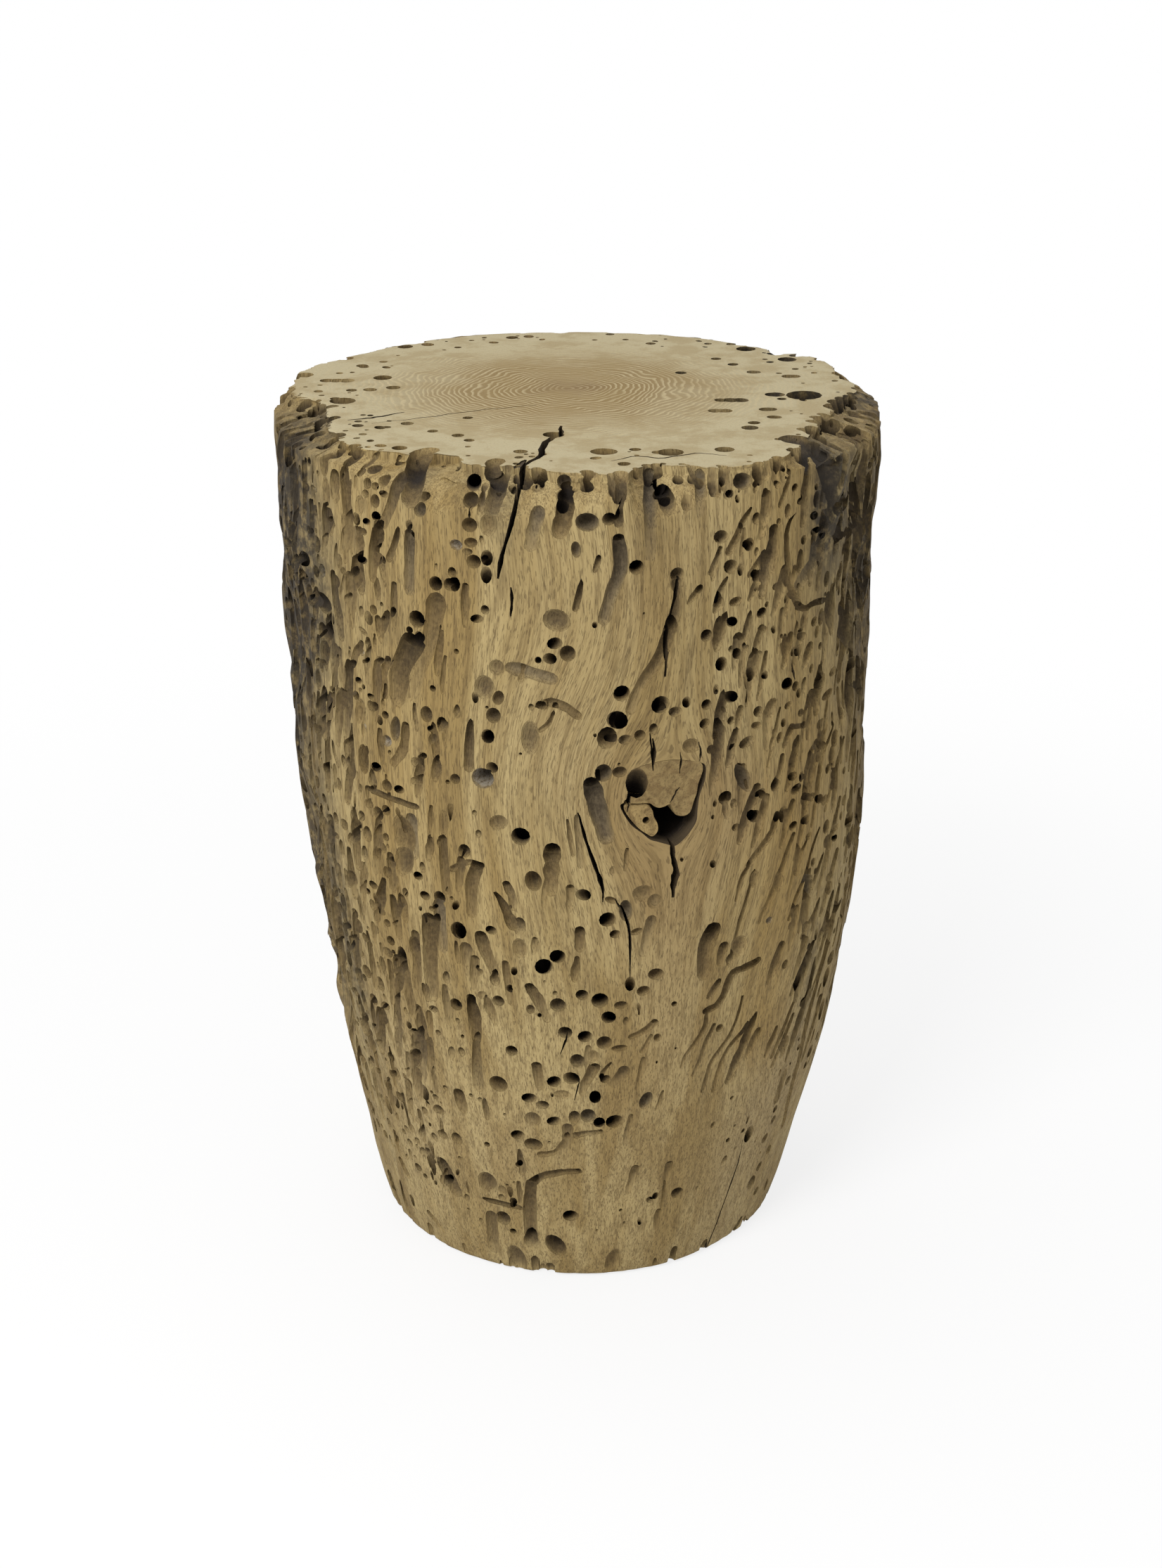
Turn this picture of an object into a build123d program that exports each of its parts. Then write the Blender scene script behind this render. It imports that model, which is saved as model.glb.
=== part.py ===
"""Log stool of shipworm-bored timber, with the two pieces of its dead knot and four felt glides.

Millimetres. +Z is up, the origin is on the floor under the middle of the log, and -Y is the front.
The log is a turned barrel, widest under the seat, whose top edge is worn down unevenly. Its bores,
galleries, cracks and worn places were read by eye from a front picture, so their tables hold picture
places, and side_reading and on_seat carry them to the log's own surface. Places on the hidden back
follow a plain rule.
"""
from build123d import *
import math
import os

# Log
stool_height = 450.0
girth_radius = 156.0
base_round = 4.0

# Height share and radius share of the log's outline, from the base to the seat
outline_shares = (
    (0.00, 0.705),
    (0.03, 0.733),
    (0.11, 0.785),
    (0.25, 0.875),
    (0.38, 0.937),
    (0.51, 0.975),
    (0.65, 0.987),
    (0.78, 0.991),
    (0.89, 1.000),
    (1.00, 0.992),
)

# Reach of the flat seat round the log: turn from the front in degrees, and share of the girth
seat_reach_shares = (
    (-180, 0.974), (-170, 0.974), (-162, 0.987), (-155, 0.996), (-147, 0.996), (-140, 0.99), (-130, 0.98),
    (-121, 0.968), (-117, 0.985), (-110, 0.995), (-105, 0.985), (-101, 0.965), (-95, 0.965), (-90, 0.94),
    (-86, 0.88), (-81, 0.84), (-76, 0.85), (-66, 0.87), (-60, 0.90), (-54, 0.92), (-50, 0.935), (-46, 0.92),
    (-43, 0.935), (-40, 0.92), (-37, 0.89), (-34, 0.90), (-31, 0.87), (-25, 0.84), (-22, 0.905), (-18, 0.92),
    (-14, 0.90), (-11, 0.885), (-8, 0.91), (-5, 0.93), (-1, 0.945), (4, 0.96), (8, 0.985), (10.5, 0.92),
    (14, 0.885), (16, 0.90), (18, 0.92), (21, 0.935), (24, 0.985), (29, 0.99), (36, 0.992), (40, 0.98),
    (44, 0.955), (51, 0.90), (58, 0.87), (65, 0.865), (72, 0.86), (80, 0.865), (88, 0.88), (93, 0.92),
    (100, 0.935), (105, 0.91), (111, 0.93), (115, 0.96), (121, 0.98), (128, 0.98), (131, 0.925), (133, 0.925),
    (136, 0.963), (149, 0.972), (159, 0.98), (168, 0.971),
)
worn_edge_depth = 26.0      # how far under the seat its worn edge starts
shoulder_depth = 7.0        # where the slope of the worn edge changes
edge_clear_share = 1.02     # where the slope would meet the side, as a share of the girth
front_shoulder_share = 0.66 # how much of the wear is left at the shoulder, on the front and on the back
back_shoulder_share = 0.12
front_half_turn = 48

# The picture's camera, as shares of the height, and its frame in pixels
camera_distance_share = 2.793
camera_height_share = 1.685
camera_pitch = 22.5
camera_girth_share = 0.3467
focal_pixels = 3619
middle_x_pixel = 826
middle_y_pixel = 1115
edge_pixels = 2             # blurred edge that hides part of each hole
least_facing_share = 0.4    # least share of a width that still shows where the side turns away

# Bores and cuts
deep_bore = 34.0
middle_bore = 18.0
pit_depth_share = 0.81      # depth of a pit and of a scoop, as shares of their narrow width
scoop_depth_share = 0.34
cut_overrun = 14.0
cuts_at_once = 12
least_left_share = 0.97     # a group of cuts that leaves less than this went wrong
roundest_mouth_share = 0.95
steepest_lean = 55
longest_mouth_share = 2.2
round_enough_share = 1.2    # a hollow less long than this is cut as a plain ball
crack_width = 1.6
crack_depth = 34.0
seat_crack_depth = 9.0
seat_pit_depth = 14.0

# Galleries: how deep their middle lies under the skin, as shares of their radius
top_sink_share = 0.35
fade_share = 0.8
level_sink_share = 0.1
widest_gallery_radius = 7.5
dive_width = 18             # narrowest gallery in pixels that dives into the timber at its top
dive_in_share = 1.6
dive_up_share = 0.9

# Badly worn strips: turn and half width in degrees, and the height share where the wear starts
worn_strips = (
    (-80, 19, 0.14), (66, 11, 0.66), (82, 12, 0.25), (150, 16, 0.30), (-150, 20, 0.05), (180, 12, 0.55),
)
hollow_step_share = 0.11
hollow_width_share = 1.25
hollow_sway_share = 0.4
hollow_depth_share = 0.075

# Dead knot
socket_depth = 26.0
knot_gap = 0.8
knot_set_back = 0.8
hollow_radius = 12.0
hollow_depth = 62.0
upper_knot_width = 30.0
upper_knot_height = 25.0
left_knot_width = 18.0
left_knot_height = 19.0

# Glides
glide_circle_radius = 72.0
glide_count = 4
glide_proud = 1.5
glide_clearance = 0.25
cup_radius = 15.0
cup_floor = 2.2
cup_wall = 1.6
cup_lip = 1.6
felt_thickness = 4.2
nail_radius = 1.1
nail_length = 24.0
nail_head_radius = 3.5
nail_head_thickness = 1.2

# Tunnels that go into the front: picture x, y, width and height of the mouth in pixels
tunnel_mouths = (
    (674, 684, 19, 19), (673, 800, 18, 18), (692, 792, 15, 18), (691, 817, 15, 21), (645, 831, 15, 22),
    (885, 702, 20, 28), (948, 711, 21, 26), (866, 739, 19, 17), (905, 806, 18, 18), (1005, 904, 15, 18),
    (789, 915, 21, 15), (781, 936, 18, 14), (693, 1049, 17, 20), (884, 985, 21, 20),
    (877, 1022, 28, 23), (863, 1052, 27, 28), (906, 1110, 30, 37), (939, 1001, 26, 24),
    (1037, 990, 21, 14), (1063, 1055, 24, 14), (1119, 972, 15, 16), (1031, 1136, 18, 18),
    (1073, 1160, 14, 15), (660, 1211, 16, 17), (740, 1187, 26, 27), (738, 1317, 17, 26),
    (652, 1322, 20, 20), (703, 1394, 15, 19), (793, 1359, 18, 15), (773, 1373, 25, 20),
    (829, 1272, 21, 14), (864, 1308, 22, 18), (648, 1430, 18, 17), (708, 1425, 17, 14),
    (803, 1470, 20, 15), (832, 1474, 19, 15), (828, 1416, 18, 14), (853, 1422, 24, 20),
    (865, 1446, 20, 16), (727, 1494, 18, 15), (812, 1533, 24, 16), (846, 1560, 15, 18),
    (817, 1590, 16, 17), (874, 1594, 22, 15), (649, 1620, 15, 14), (755, 1764, 20, 20),
    (811, 1729, 20, 14), (963, 1696, 15, 14), (1066, 774, 15, 18), (1040, 808, 20, 20),
    (1022, 859, 14, 22), (1023, 896, 18, 28), (1176, 738, 18, 27), (1078, 819, 15, 18),
    (1026, 944, 16, 17), (1167, 973, 18, 28), (619, 831, 15, 18), (638, 831, 15, 18),
    (592, 879, 22, 27), (458, 860, 22, 23), (430, 822, 15, 17), (430, 794, 20, 20), (457, 900, 15, 33),
    (628, 1031, 15, 27), (537, 1158, 14, 17), (625, 1277, 15, 16), (516, 1463, 20, 25),
)

# Pits in the front, as deep as they are wide
pit_mouths = (
    (669, 711, 21, 21), (667, 747, 21, 20), (963, 817, 19, 19), (807, 930, 22, 22), (708, 993, 15, 20),
    (701, 1018, 20, 21), (881, 1098, 20, 14), (910, 1046, 15, 14), (758, 1253, 24, 28),
    (793, 1430, 22, 18), (859, 1483, 21, 17), (821, 1509, 20, 18), (708, 1542, 26, 21),
    (758, 1628, 26, 15), (715, 1733, 20, 18), (790, 1772, 26, 30), (933, 1386, 22, 15),
    (1026, 764, 20, 18), (545, 683, 14, 17), (606, 1016, 16, 22), (802, 685, 20, 19),
    (835, 743, 34, 26), (858, 1100, 24, 24), (1057, 1106, 18, 49), (890, 1296, 18, 30),
    (836, 1587, 21, 18), (596, 725, 16, 20), (1149, 1264, 15, 40), (919, 1566, 18, 23),
    (1057, 685, 27, 23), (648, 775, 17, 14), (686, 1107, 31, 28),
)

# Shallow worn scoops on the front
scoop_mouths = (
    (791, 883, 38, 30), (694, 746, 24, 35), (963, 830, 19, 24), (706, 950, 22, 22), (688, 978, 28, 34),
    (754, 1049, 25, 48), (983, 1061, 24, 20), (709, 1170, 25, 20), (739, 1349, 21, 28),
    (842, 1503, 20, 17), (757, 1592, 23, 18), (693, 1682, 28, 28), (735, 1790, 26, 36),
    (915, 1271, 33, 23), (931, 1282, 20, 20), (1052, 1346, 22, 30), (887, 1524, 18, 15),
    (872, 1792, 20, 30), (574, 1190, 30, 60), (574, 1225, 26, 50), (1073, 1250, 14, 24),
    (1108, 1252, 15, 30),
)

# Open galleries on the front: widths in pixels at the top and at the lower end, how far they are sunk
# as a share of their radius, and the picture places along the middle
gallery_routes = (
    (24, 22, 0.1, ((697, 673), (705, 706), (699, 723))),
    (28, 24, 0.3, ((806, 716), (796, 756))),
    (14, 14, 0.5, ((668, 1024), (666, 1091))),
    (14, 12, 0.1, ((769, 1005), (803, 1005), (821, 1018))),
    (19, 14, 0.1, ((678, 1235), (670, 1253), (670, 1299))),
    (28, 15, 0.1, ((785, 1210), (784, 1268))),
    (17, 17, 0.7, ((698, 1263), (722, 1300), (729, 1316))),
    (18, 14, 0.1, ((683, 1332), (703, 1382))),
    (17, 12, -0.3, ((662, 1349), (662, 1370))),
    (18, 14, 0.1, ((824, 1325), (825, 1349))),
    (23, 12, 0.3, ((671, 1430), (677, 1480))),
    (18, 10, 0.1, ((753, 1405), (771, 1435), (778, 1451))),
    (18, 14, -0.3, ((887, 1526), (872, 1542))),
    (16, 12, 0.1, ((763, 1516), (768, 1546))),
    (16, 12, -0.3, ((807, 1605), (807, 1625), (794, 1639))),
    (17, 12, 0.1, ((652, 1556), (658, 1579))),
    (20, 18, 0.2, ((628, 1655), (647, 1693))),
    (17, 14, -0.3, ((698, 1729), (702, 1778))),
    (15, 20, 0.1, ((755, 1684), (753, 1730), (755, 1756))),
    (15, 12, -0.3, ((926, 1309), (915, 1357))),
    (26, 20, 0.1, ((1014, 1324), (1002, 1346), (1002, 1385))),
    (15, 12, 0.1, ((1100, 753), (1096, 811))),
    (15, 11, -0.3, ((1098, 1002), (1091, 1021), (1092, 1062))),
    (27, 22, 0.0, ((593, 652), (586, 706))),
    (30, 24, 0.0, ((584, 916), (567, 953), (564, 993))),
    (25, 18, -0.4, ((620, 858), (596, 950), (584, 991))),
    (22, 18, 0.0, ((610, 1309), (614, 1416))),
    (15, 12, 0.1, ((571, 1357), (588, 1443))),
    (15, 12, 0.1, ((540, 1440), (540, 1493))),
    (20, 17, -0.2, ((765, 730), (753, 778))),
    (21, 18, 0.15, ((880, 767), (878, 825), (859, 881))),
    (21, 15, -0.4, ((923, 675), (925, 793))),
    (14, 12, -0.4, ((994, 675), (996, 730))),
    (20, 17, -0.3, ((727, 950), (784, 966))),
    (27, 24, 0.15, ((841, 1116), (862, 1190))),
    (30, 17, 0.0, ((1169, 650), (1189, 710), (1186, 733))),
    (15, 14, -0.3, ((1172, 759), (1159, 799), (1136, 832))),
    (15, 13, 0.1, ((582, 759), (581, 839))),
    (17, 15, -0.2, ((584, 1166), (587, 1216))),
    (17, 15, -0.2, ((624, 1289), (629, 1349))),
)

# Drying cracks on the side and on the seat: picture places along each crack
side_crack_routes = (
    ((742, 690), (727, 746), (708, 822)),
    ((822, 1158), (858, 1283)),
    ((1057, 1623), (1036, 1694), (1004, 1777)),
)
seat_crack_routes = (
    ((799, 612), (769, 645)),
    ((532, 601), (692, 582)),
)

# Pits in the seat: picture x, y, width in pixels
seat_pit_places = (
    (544, 537, 28), (487, 570, 35), (579, 602, 20), (651, 619, 20), (787, 618, 26), (740, 642, 24),
    (858, 642, 38), (953, 643, 34), (1030, 639, 28), (1039, 569, 34), (1092, 582, 26), (1143, 562, 40),
    (1125, 535, 28), (968, 530, 20),
)

# Rule for the hidden back: how many bores, and the turn where the pattern starts and how far it runs
back_bore_count = 84
back_start_turn = 82
back_turn_span = 196
golden_share = 0.618
back_bore_radius = 3.6
back_bore_spread_share = 0.45
back_gallery_count = 16
back_gallery_radius = 3.6
back_gallery_length = 50.0
back_gallery_spread_share = 0.4

# Bores that come out in the sawn underside: turn from the front in degrees, distance share of the base
under_bore_shares = (
    (8, 0.30), (40, 0.12), (95, 0.45), (170, 0.38), (262, 0.34), (0, 0.78), (88, 0.80), (183, 0.76),
)
under_bore_radius = 3.8


def outline_share(height_share):
    """Radius share of the log at a height share, read between the outline's points."""
    for (low, low_radius), (high, high_radius) in zip(outline_shares, outline_shares[1:]):
        if height_share <= high:
            return low_radius + (high_radius - low_radius) * (height_share - low) / (high - low)
    return outline_shares[-1][1]


def sight_line(x_pixel, y_pixel):
    """Direction of the line from the camera through a place in the picture."""
    across = (x_pixel - middle_x_pixel) / focal_pixels
    up = (middle_y_pixel - y_pixel) / focal_pixels
    tilt = math.radians(camera_pitch)
    return (across, math.cos(tilt) + up * math.sin(tilt), up * math.cos(tilt) - math.sin(tilt))


def side_reading(x_pixel, y_pixel):
    """Turn and height share where a sight line first meets the log's side, and the real width and height
    that a pixel covers there."""
    line = sight_line(x_pixel, y_pixel)
    steps = 400
    for step in range(steps):
        reach = camera_distance_share * (0.8 + 0.6 * step / steps)
        x, y, z = (line[0] * reach, line[1] * reach - camera_distance_share, line[2] * reach + camera_height_share)
        if math.hypot(x, y) <= camera_girth_share * outline_share(z):
            break
    turn = math.atan2(x, -y)
    pixel = reach * stool_height / focal_pixels
    facing = math.cos(turn) - line[0] * math.sin(turn) * math.cos(math.radians(camera_pitch))
    return turn, min(max(z, 0), 1), pixel / max(facing, least_facing_share), pixel / line[1]


def side_place(turn, height_share, inset=0.0):
    """Point on the side of the log, moved in by an inset."""
    radius = girth_radius * outline_share(height_share) - inset
    height = glide_proud + height_share * (stool_height - glide_proud)
    return Vector(radius * math.sin(turn), -radius * math.cos(turn), height)


def on_seat(x_pixel, y_pixel):
    """Point on the seat that a place in the picture shows, and the real size of a pixel there."""
    line = sight_line(x_pixel, y_pixel)
    reach = (1 - camera_height_share) / line[2]
    x_share = line[0] * reach / camera_girth_share
    y_share = (line[1] * reach - camera_distance_share) / camera_girth_share
    place = Vector(x_share * girth_radius, y_share * girth_radius, stool_height)
    return place, reach * stool_height / focal_pixels


def outward(turn, rise=0.0):
    """Direction out of the log at a turn from the front, with a rise in degrees."""
    lift = math.radians(rise)
    return Vector(math.sin(turn) * math.cos(lift), -math.cos(turn) * math.cos(lift), math.sin(lift))


def bore(place, direction, radius, depth):
    """Round tunnel with a rounded end, from outside the place down into the log."""
    side = Polyline((0, 0, cut_overrun), (radius, 0, cut_overrun), (radius, 0, radius - depth))
    corner = radius * math.sqrt(0.5)
    end = ThreePointArc((radius, 0, radius - depth), (corner, 0, radius - depth - corner), (0, 0, -depth))
    middle = Line((0, 0, -depth), (0, 0, cut_overrun))
    return Plane(place, z_dir=direction) * revolve(make_face([side, end, middle]), Axis.Z)


def mouth(x_pixel, y_pixel, width, height):
    """Turn and height share of a hole in the side, and the real width and height of its mouth."""
    turn, height_share, pixel_width, pixel_height = side_reading(x_pixel, y_pixel)
    wide = (width + edge_pixels) * pixel_width
    high = (height + edge_pixels) * pixel_height
    return turn, height_share, min(wide, high * longest_mouth_share), high


def tunnel_direction(x_pixel, y_pixel, turn, wide, high):
    """Direction out of a tunnel: it leans the way its mouth is longer."""
    lean = math.acos(min(min(wide, high) / max(wide, high), roundest_mouth_share))
    lean = min(lean, math.radians(steepest_lean)) * (1 if (x_pixel + y_pixel) % 2 else -1)
    return outward(turn, -math.degrees(lean)) if high > wide else outward(turn - lean)


def stretch(start, end, radius):
    """Straight round tunnel with ball ends."""
    length = (end - start).length
    corner = radius * math.sqrt(0.5)
    top = ThreePointArc((0, 0, length + radius), (corner, 0, length + corner), (radius, 0, length))
    side = Line((radius, 0, length), (radius, 0, 0))
    foot = ThreePointArc((radius, 0, 0), (corner, 0, -corner), (0, 0, -radius))
    middle = Line((0, 0, -radius), (0, 0, length + radius))
    return Plane(start, z_dir=end - start) * revolve(make_face([top, side, foot, middle]), Axis.Z)


def dish(turn, height_share, wide, high, depth):
    """Ball-bottomed hollow in the side, stretched the way its mouth is longer."""
    narrow = min(wide, high)
    radius = (narrow * narrow / 4 + depth * depth) / (2 * depth)
    inset = depth - radius
    if max(wide, high) < narrow * round_enough_share:
        return Pos(side_place(turn, height_share, inset)) * Sphere(radius)
    half_turn = (wide - narrow) / 2 / girth_radius
    half_height = (high - narrow) / 2 / stool_height
    start = side_place(turn - half_turn, height_share - half_height, inset)
    end = side_place(turn + half_turn, height_share + half_height, inset)
    return stretch(start, end, radius)


def gallery(start_width, end_width, sunk, route):
    """Tunnel along the surface: it comes out of the timber at its top and fades out below."""
    upright = route[-1][1] - route[0][1] > abs(route[-1][0] - route[0][0])
    places, radii = [], []
    for number, (x_pixel, y_pixel) in enumerate(route):
        share = number / (len(route) - 1)
        width = start_width + (end_width - start_width) * share
        turn, height_share, pixel_width, _ = side_reading(x_pixel, y_pixel)
        sink = sunk + (top_sink_share - fade_share * share if upright else level_sink_share)
        radius = min((width + edge_pixels) * pixel_width / 2, widest_gallery_radius)
        radius /= math.sqrt(1 - min(sink, 0) ** 2)
        places.append(side_place(turn, height_share, radius * sink))
        radii.append(radius)
    if start_width >= dive_width and sunk >= 0:
        out = Vector(places[0].X, places[0].Y, 0).normalized()
        dive = places[0] - out * (radii[0] * dive_in_share) + Vector(0, 0, radii[0] * dive_up_share)
        places.insert(0, dive)
        radii.insert(0, radii[0])
    pairs = zip(places, places[1:], radii, radii[1:])
    return [stretch(start, end, (start_radius + end_radius) / 2) for start, end, start_radius, end_radius in pairs]


def slot(start, end, direction, depth):
    """Thin straight cut between two places, sunk into the surface against a direction."""
    along = end - start
    plane = Plane((start + end) / 2, x_dir=along, z_dir=direction)
    return plane * Box(along.length + crack_width, crack_width, 2 * depth)


def worn_edge(depth):
    """Outline of the seat's worn edge at a depth under the seat."""
    points = []
    for turn, reach_share in seat_reach_shares:
        facing = max(math.cos(math.pi / 2 * max(-1, min(1, turn / front_half_turn))), 0)
        shoulder = back_shoulder_share + (front_shoulder_share - back_shoulder_share) * facing
        worn = {0: 1, shoulder_depth: shoulder}.get(depth, 0)
        reach = girth_radius * (edge_clear_share - (edge_clear_share - reach_share) * worn)
        points.append(outward(math.radians(turn)) * reach + Vector(0, 0, stool_height - depth))
    return make_face(Polyline(*points, close=True))


def log_blank():
    """The barrel before anything is cut out of it, with the seat's uneven worn edge."""
    log_height = stool_height - glide_proud
    points = [(radius * girth_radius, 0, glide_proud + height * log_height) for height, radius in outline_shares]
    outline = Polyline((0, 0, glide_proud), *points, (0, 0, stool_height), close=True)
    barrel = revolve(make_face(outline), Axis.Z)
    rims = barrel.edges().filter_by(GeomType.CIRCLE).sort_by(Axis.Z)
    barrel = fillet(rims[0], base_round)
    crown = loft([worn_edge(depth) for depth in (0, shoulder_depth, worn_edge_depth)], ruled=True)
    collar = Cylinder(girth_radius * edge_clear_share + cut_overrun, 2 * worn_edge_depth)
    return barrel - (Pos(0, 0, stool_height) * collar - crown)


def side_cuts():
    """Tunnels, pits, scoops, galleries and cracks in the front of the log."""
    cuts = []
    for x_pixel, y_pixel, width, height in tunnel_mouths:
        turn, height_share, wide, high = mouth(x_pixel, y_pixel, width, height)
        direction = tunnel_direction(x_pixel, y_pixel, turn, wide, high)
        cuts.append(bore(side_place(turn, height_share), direction, min(wide, high) / 2, deep_bore))
    for mouths, depth_share in ((pit_mouths, pit_depth_share), (scoop_mouths, scoop_depth_share)):
        for place in mouths:
            turn, height_share, wide, high = mouth(*place)
            cuts.append(dish(turn, height_share, wide, high, min(wide, high) * depth_share))
    for route in gallery_routes:
        cuts += gallery(*route)
    for route in side_crack_routes:
        for start, end in zip(route, route[1:]):
            turn, height_share = side_reading(*start)[:2]
            near = side_place(turn, height_share)
            cuts.append(slot(near, side_place(*side_reading(*end)[:2]), outward(turn), crack_depth))
    return cuts


def worn_hollows():
    """Broad shallow hollows in the badly worn strips, in two staggered rows up each strip."""
    hollows = []
    for turn, half_width, start_share in worn_strips:
        width = math.radians(half_width) * girth_radius * hollow_width_share
        for level in range(int((1 - start_share) / hollow_step_share)):
            sway = half_width * hollow_sway_share * (1 if level % 2 else -1)
            height_share = start_share + hollow_step_share * (level + 0.5)
            hollows.append(dish(math.radians(turn + sway), height_share, width, width, width * hollow_depth_share))
    return hollows


def seat_cuts():
    """Pits and cracks in the seat."""
    cuts = []
    for x_pixel, y_pixel, width in seat_pit_places:
        direction = Vector(0.3 * math.sin(x_pixel), 0.3 * math.cos(y_pixel), 1)
        place, pixel = on_seat(x_pixel, y_pixel)
        cuts.append(bore(place, direction, width * pixel / 2, seat_pit_depth))
    for route in seat_crack_routes:
        for start, end in zip(route, route[1:]):
            cuts.append(slot(on_seat(*start)[0], on_seat(*end)[0], Vector(0, 0, 1), seat_crack_depth))
    return cuts


def hidden_cuts():
    """Bores and galleries on the back, and bores that come out underneath."""
    cuts = []
    for number in range(back_bore_count):
        turn = math.radians(back_start_turn + back_turn_span * ((number * golden_share) % 1))
        height_share = 0.04 + 0.92 * (number + 0.5) / back_bore_count
        spread = 1 + back_bore_spread_share * math.sin(number * 2.9)
        direction = outward(turn + 0.3 * math.sin(number * 1.9), 25 * math.cos(number * 2.3))
        depth = deep_bore if number % 3 else middle_bore
        cuts.append(bore(side_place(turn, height_share), direction, back_bore_radius * spread, depth))
    for number in range(back_gallery_count):
        turn = math.radians(back_start_turn + back_turn_span * ((number * golden_share + 0.3) % 1))
        middle = 0.12 + 0.76 * (number + 0.5) / back_gallery_count
        reach = back_gallery_length / stool_height / 2 * (1 + back_gallery_spread_share * math.sin(number * 2.9))
        radius = back_gallery_radius * (1 + back_gallery_spread_share * math.sin(number * 1.7))
        sway = math.radians(3)
        start = side_place(turn - sway, middle - reach, 0)
        end = side_place(turn + sway, middle + reach, radius)
        cuts.append(stretch(start, end, radius))
    base_radius = girth_radius * outline_share(0)
    for turn, distance_share in under_bore_shares:
        out = outward(math.radians(turn)) * (distance_share * base_radius)
        place = Vector(out.X, out.Y, glide_proud)
        cuts.append(bore(place, Vector(0, 0, -1), under_bore_radius, middle_bore))
    return cuts


def knot_and_socket(blank):
    """Socket of the dead knot, its black hollow, and the two pieces that are left in it."""
    turn, height_share = side_reading(953, 1174)[:2]
    out = outward(turn)
    face = Plane(side_place(turn, height_share), x_dir=Vector(0, 0, 1).cross(out), z_dir=out)
    floor = face.offset(-socket_depth)
    tall = socket_depth + cut_overrun

    def knot_piece(x, y, width, height, grow=0.0):
        outline = Ellipse(width / 2 + grow, height / 2 + grow)
        return floor * extrude(Pos(x, y) * outline, amount=tall)

    upper = (hollow_radius * 0.2, hollow_radius * 1.55, upper_knot_width, upper_knot_height)
    left = (-hollow_radius * 1.3, hollow_radius * 0.3, left_knot_width, left_knot_height)
    hollow = bore(face.origin, out, hollow_radius, hollow_depth)
    socket = [knot_piece(*upper, grow=knot_gap), knot_piece(*left, grow=knot_gap), hollow]
    # The pieces stop a little behind the log's worn face
    inner_log = blank & Pos(out * -knot_set_back) * blank
    knot_upper = knot_piece(*upper) & inner_log
    knot_left = (knot_piece(*left) - knot_piece(*upper, grow=knot_gap)) & inner_log
    seat_of_knot = bore(face.origin, out, hollow_radius - knot_gap, socket_depth + hollow_radius)
    return socket, knot_upper - seat_of_knot, knot_left - seat_of_knot


def cut_away(log, cuts):
    """Cut a group out of the log at once, or in two halves where the group as a whole goes wrong."""
    # A crumb may come free where bores meet at the surface, and the log is what is left
    pieces = (log - cuts).solids()
    bored = max(pieces, key=lambda solid: solid.volume) if pieces else None
    if bored and bored.is_valid and bored.volume > log.volume * least_left_share:
        return bored
    if len(cuts) == 1:
        return log
    half = len(cuts) // 2
    return cut_away(cut_away(log, cuts[:half]), cuts[half:])


def glide_places():
    """Middles of the four glides on the floor."""
    for number in range(glide_count):
        turn = 2 * math.pi * (number + 0.5) / glide_count
        yield Vector(glide_circle_radius * math.sin(turn), -glide_circle_radius * math.cos(turn), 0)


felt_radius = cup_radius - cup_wall - glide_clearance
cup_top = felt_thickness + cup_floor
head_top = felt_thickness + nail_head_thickness
nail_top = felt_thickness + nail_length


def glide_recess(place):
    """Recess for a cup in the underside, with the hole that its nail fills."""
    recess = Cylinder(cup_radius + glide_clearance, 2 * cup_top)
    pilot = Pos(0, 0, nail_top / 2) * Cylinder(nail_radius + glide_clearance / 2, nail_top)
    return Pos(place) * (recess + pilot)


def glide_cup():
    """Moulded cup: a floor against the log, and a lip that holds the felt."""
    height = cup_floor + cup_lip
    cup = Pos(0, 0, cup_top - height / 2) * Cylinder(cup_radius, height)
    cup = fillet(cup.edges().sort_by(Axis.Z)[0], cup_wall / 3)
    cup -= Pos(0, 0, felt_thickness - cup_lip) * Cylinder(felt_radius + glide_clearance, 2 * cup_lip)
    hole = Pos(0, 0, cup_top) * Cylinder(nail_radius + glide_clearance / 2, 2 * cup_floor)
    head_space = Pos(0, 0, felt_thickness) * Cylinder(nail_head_radius + glide_clearance, 2 * nail_head_thickness)
    return cup - hole - head_space


def glide_felt():
    """Felt disc with a softened edge, glued into the cup."""
    disc = Pos(0, 0, felt_thickness / 2) * Cylinder(felt_radius, felt_thickness)
    return fillet(disc.edges().sort_by(Axis.Z)[0], felt_thickness / 6)


def glide_nail():
    """Flat-headed nail through the cup's floor, hidden by the felt."""
    head = Pos(0, 0, (felt_thickness + head_top) / 2) * Cylinder(nail_head_radius, nail_head_thickness)
    shank_length = nail_top - head_top - 2 * nail_radius
    shank = Pos(0, 0, head_top + shank_length / 2) * Cylinder(nail_radius, shank_length)
    point = Pos(0, 0, nail_top - nail_radius) * Cone(nail_radius, nail_radius / 8, 2 * nail_radius)
    return head + shank + point


def write(node, shape):
    """Write one sub-part under its node's name."""
    export_step(shape, os.path.join("parts", node + ".step"))


os.makedirs("parts", exist_ok=True)

blank = log_blank()
socket, knot_upper, knot_left = knot_and_socket(blank)
cuts = worn_hollows() + side_cuts() + seat_cuts() + hidden_cuts() + socket
cuts += [glide_recess(place) for place in glide_places()]
trunk = blank
for first in range(0, len(cuts), cuts_at_once):
    trunk = cut_away(trunk, cuts[first:first + cuts_at_once])

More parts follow.
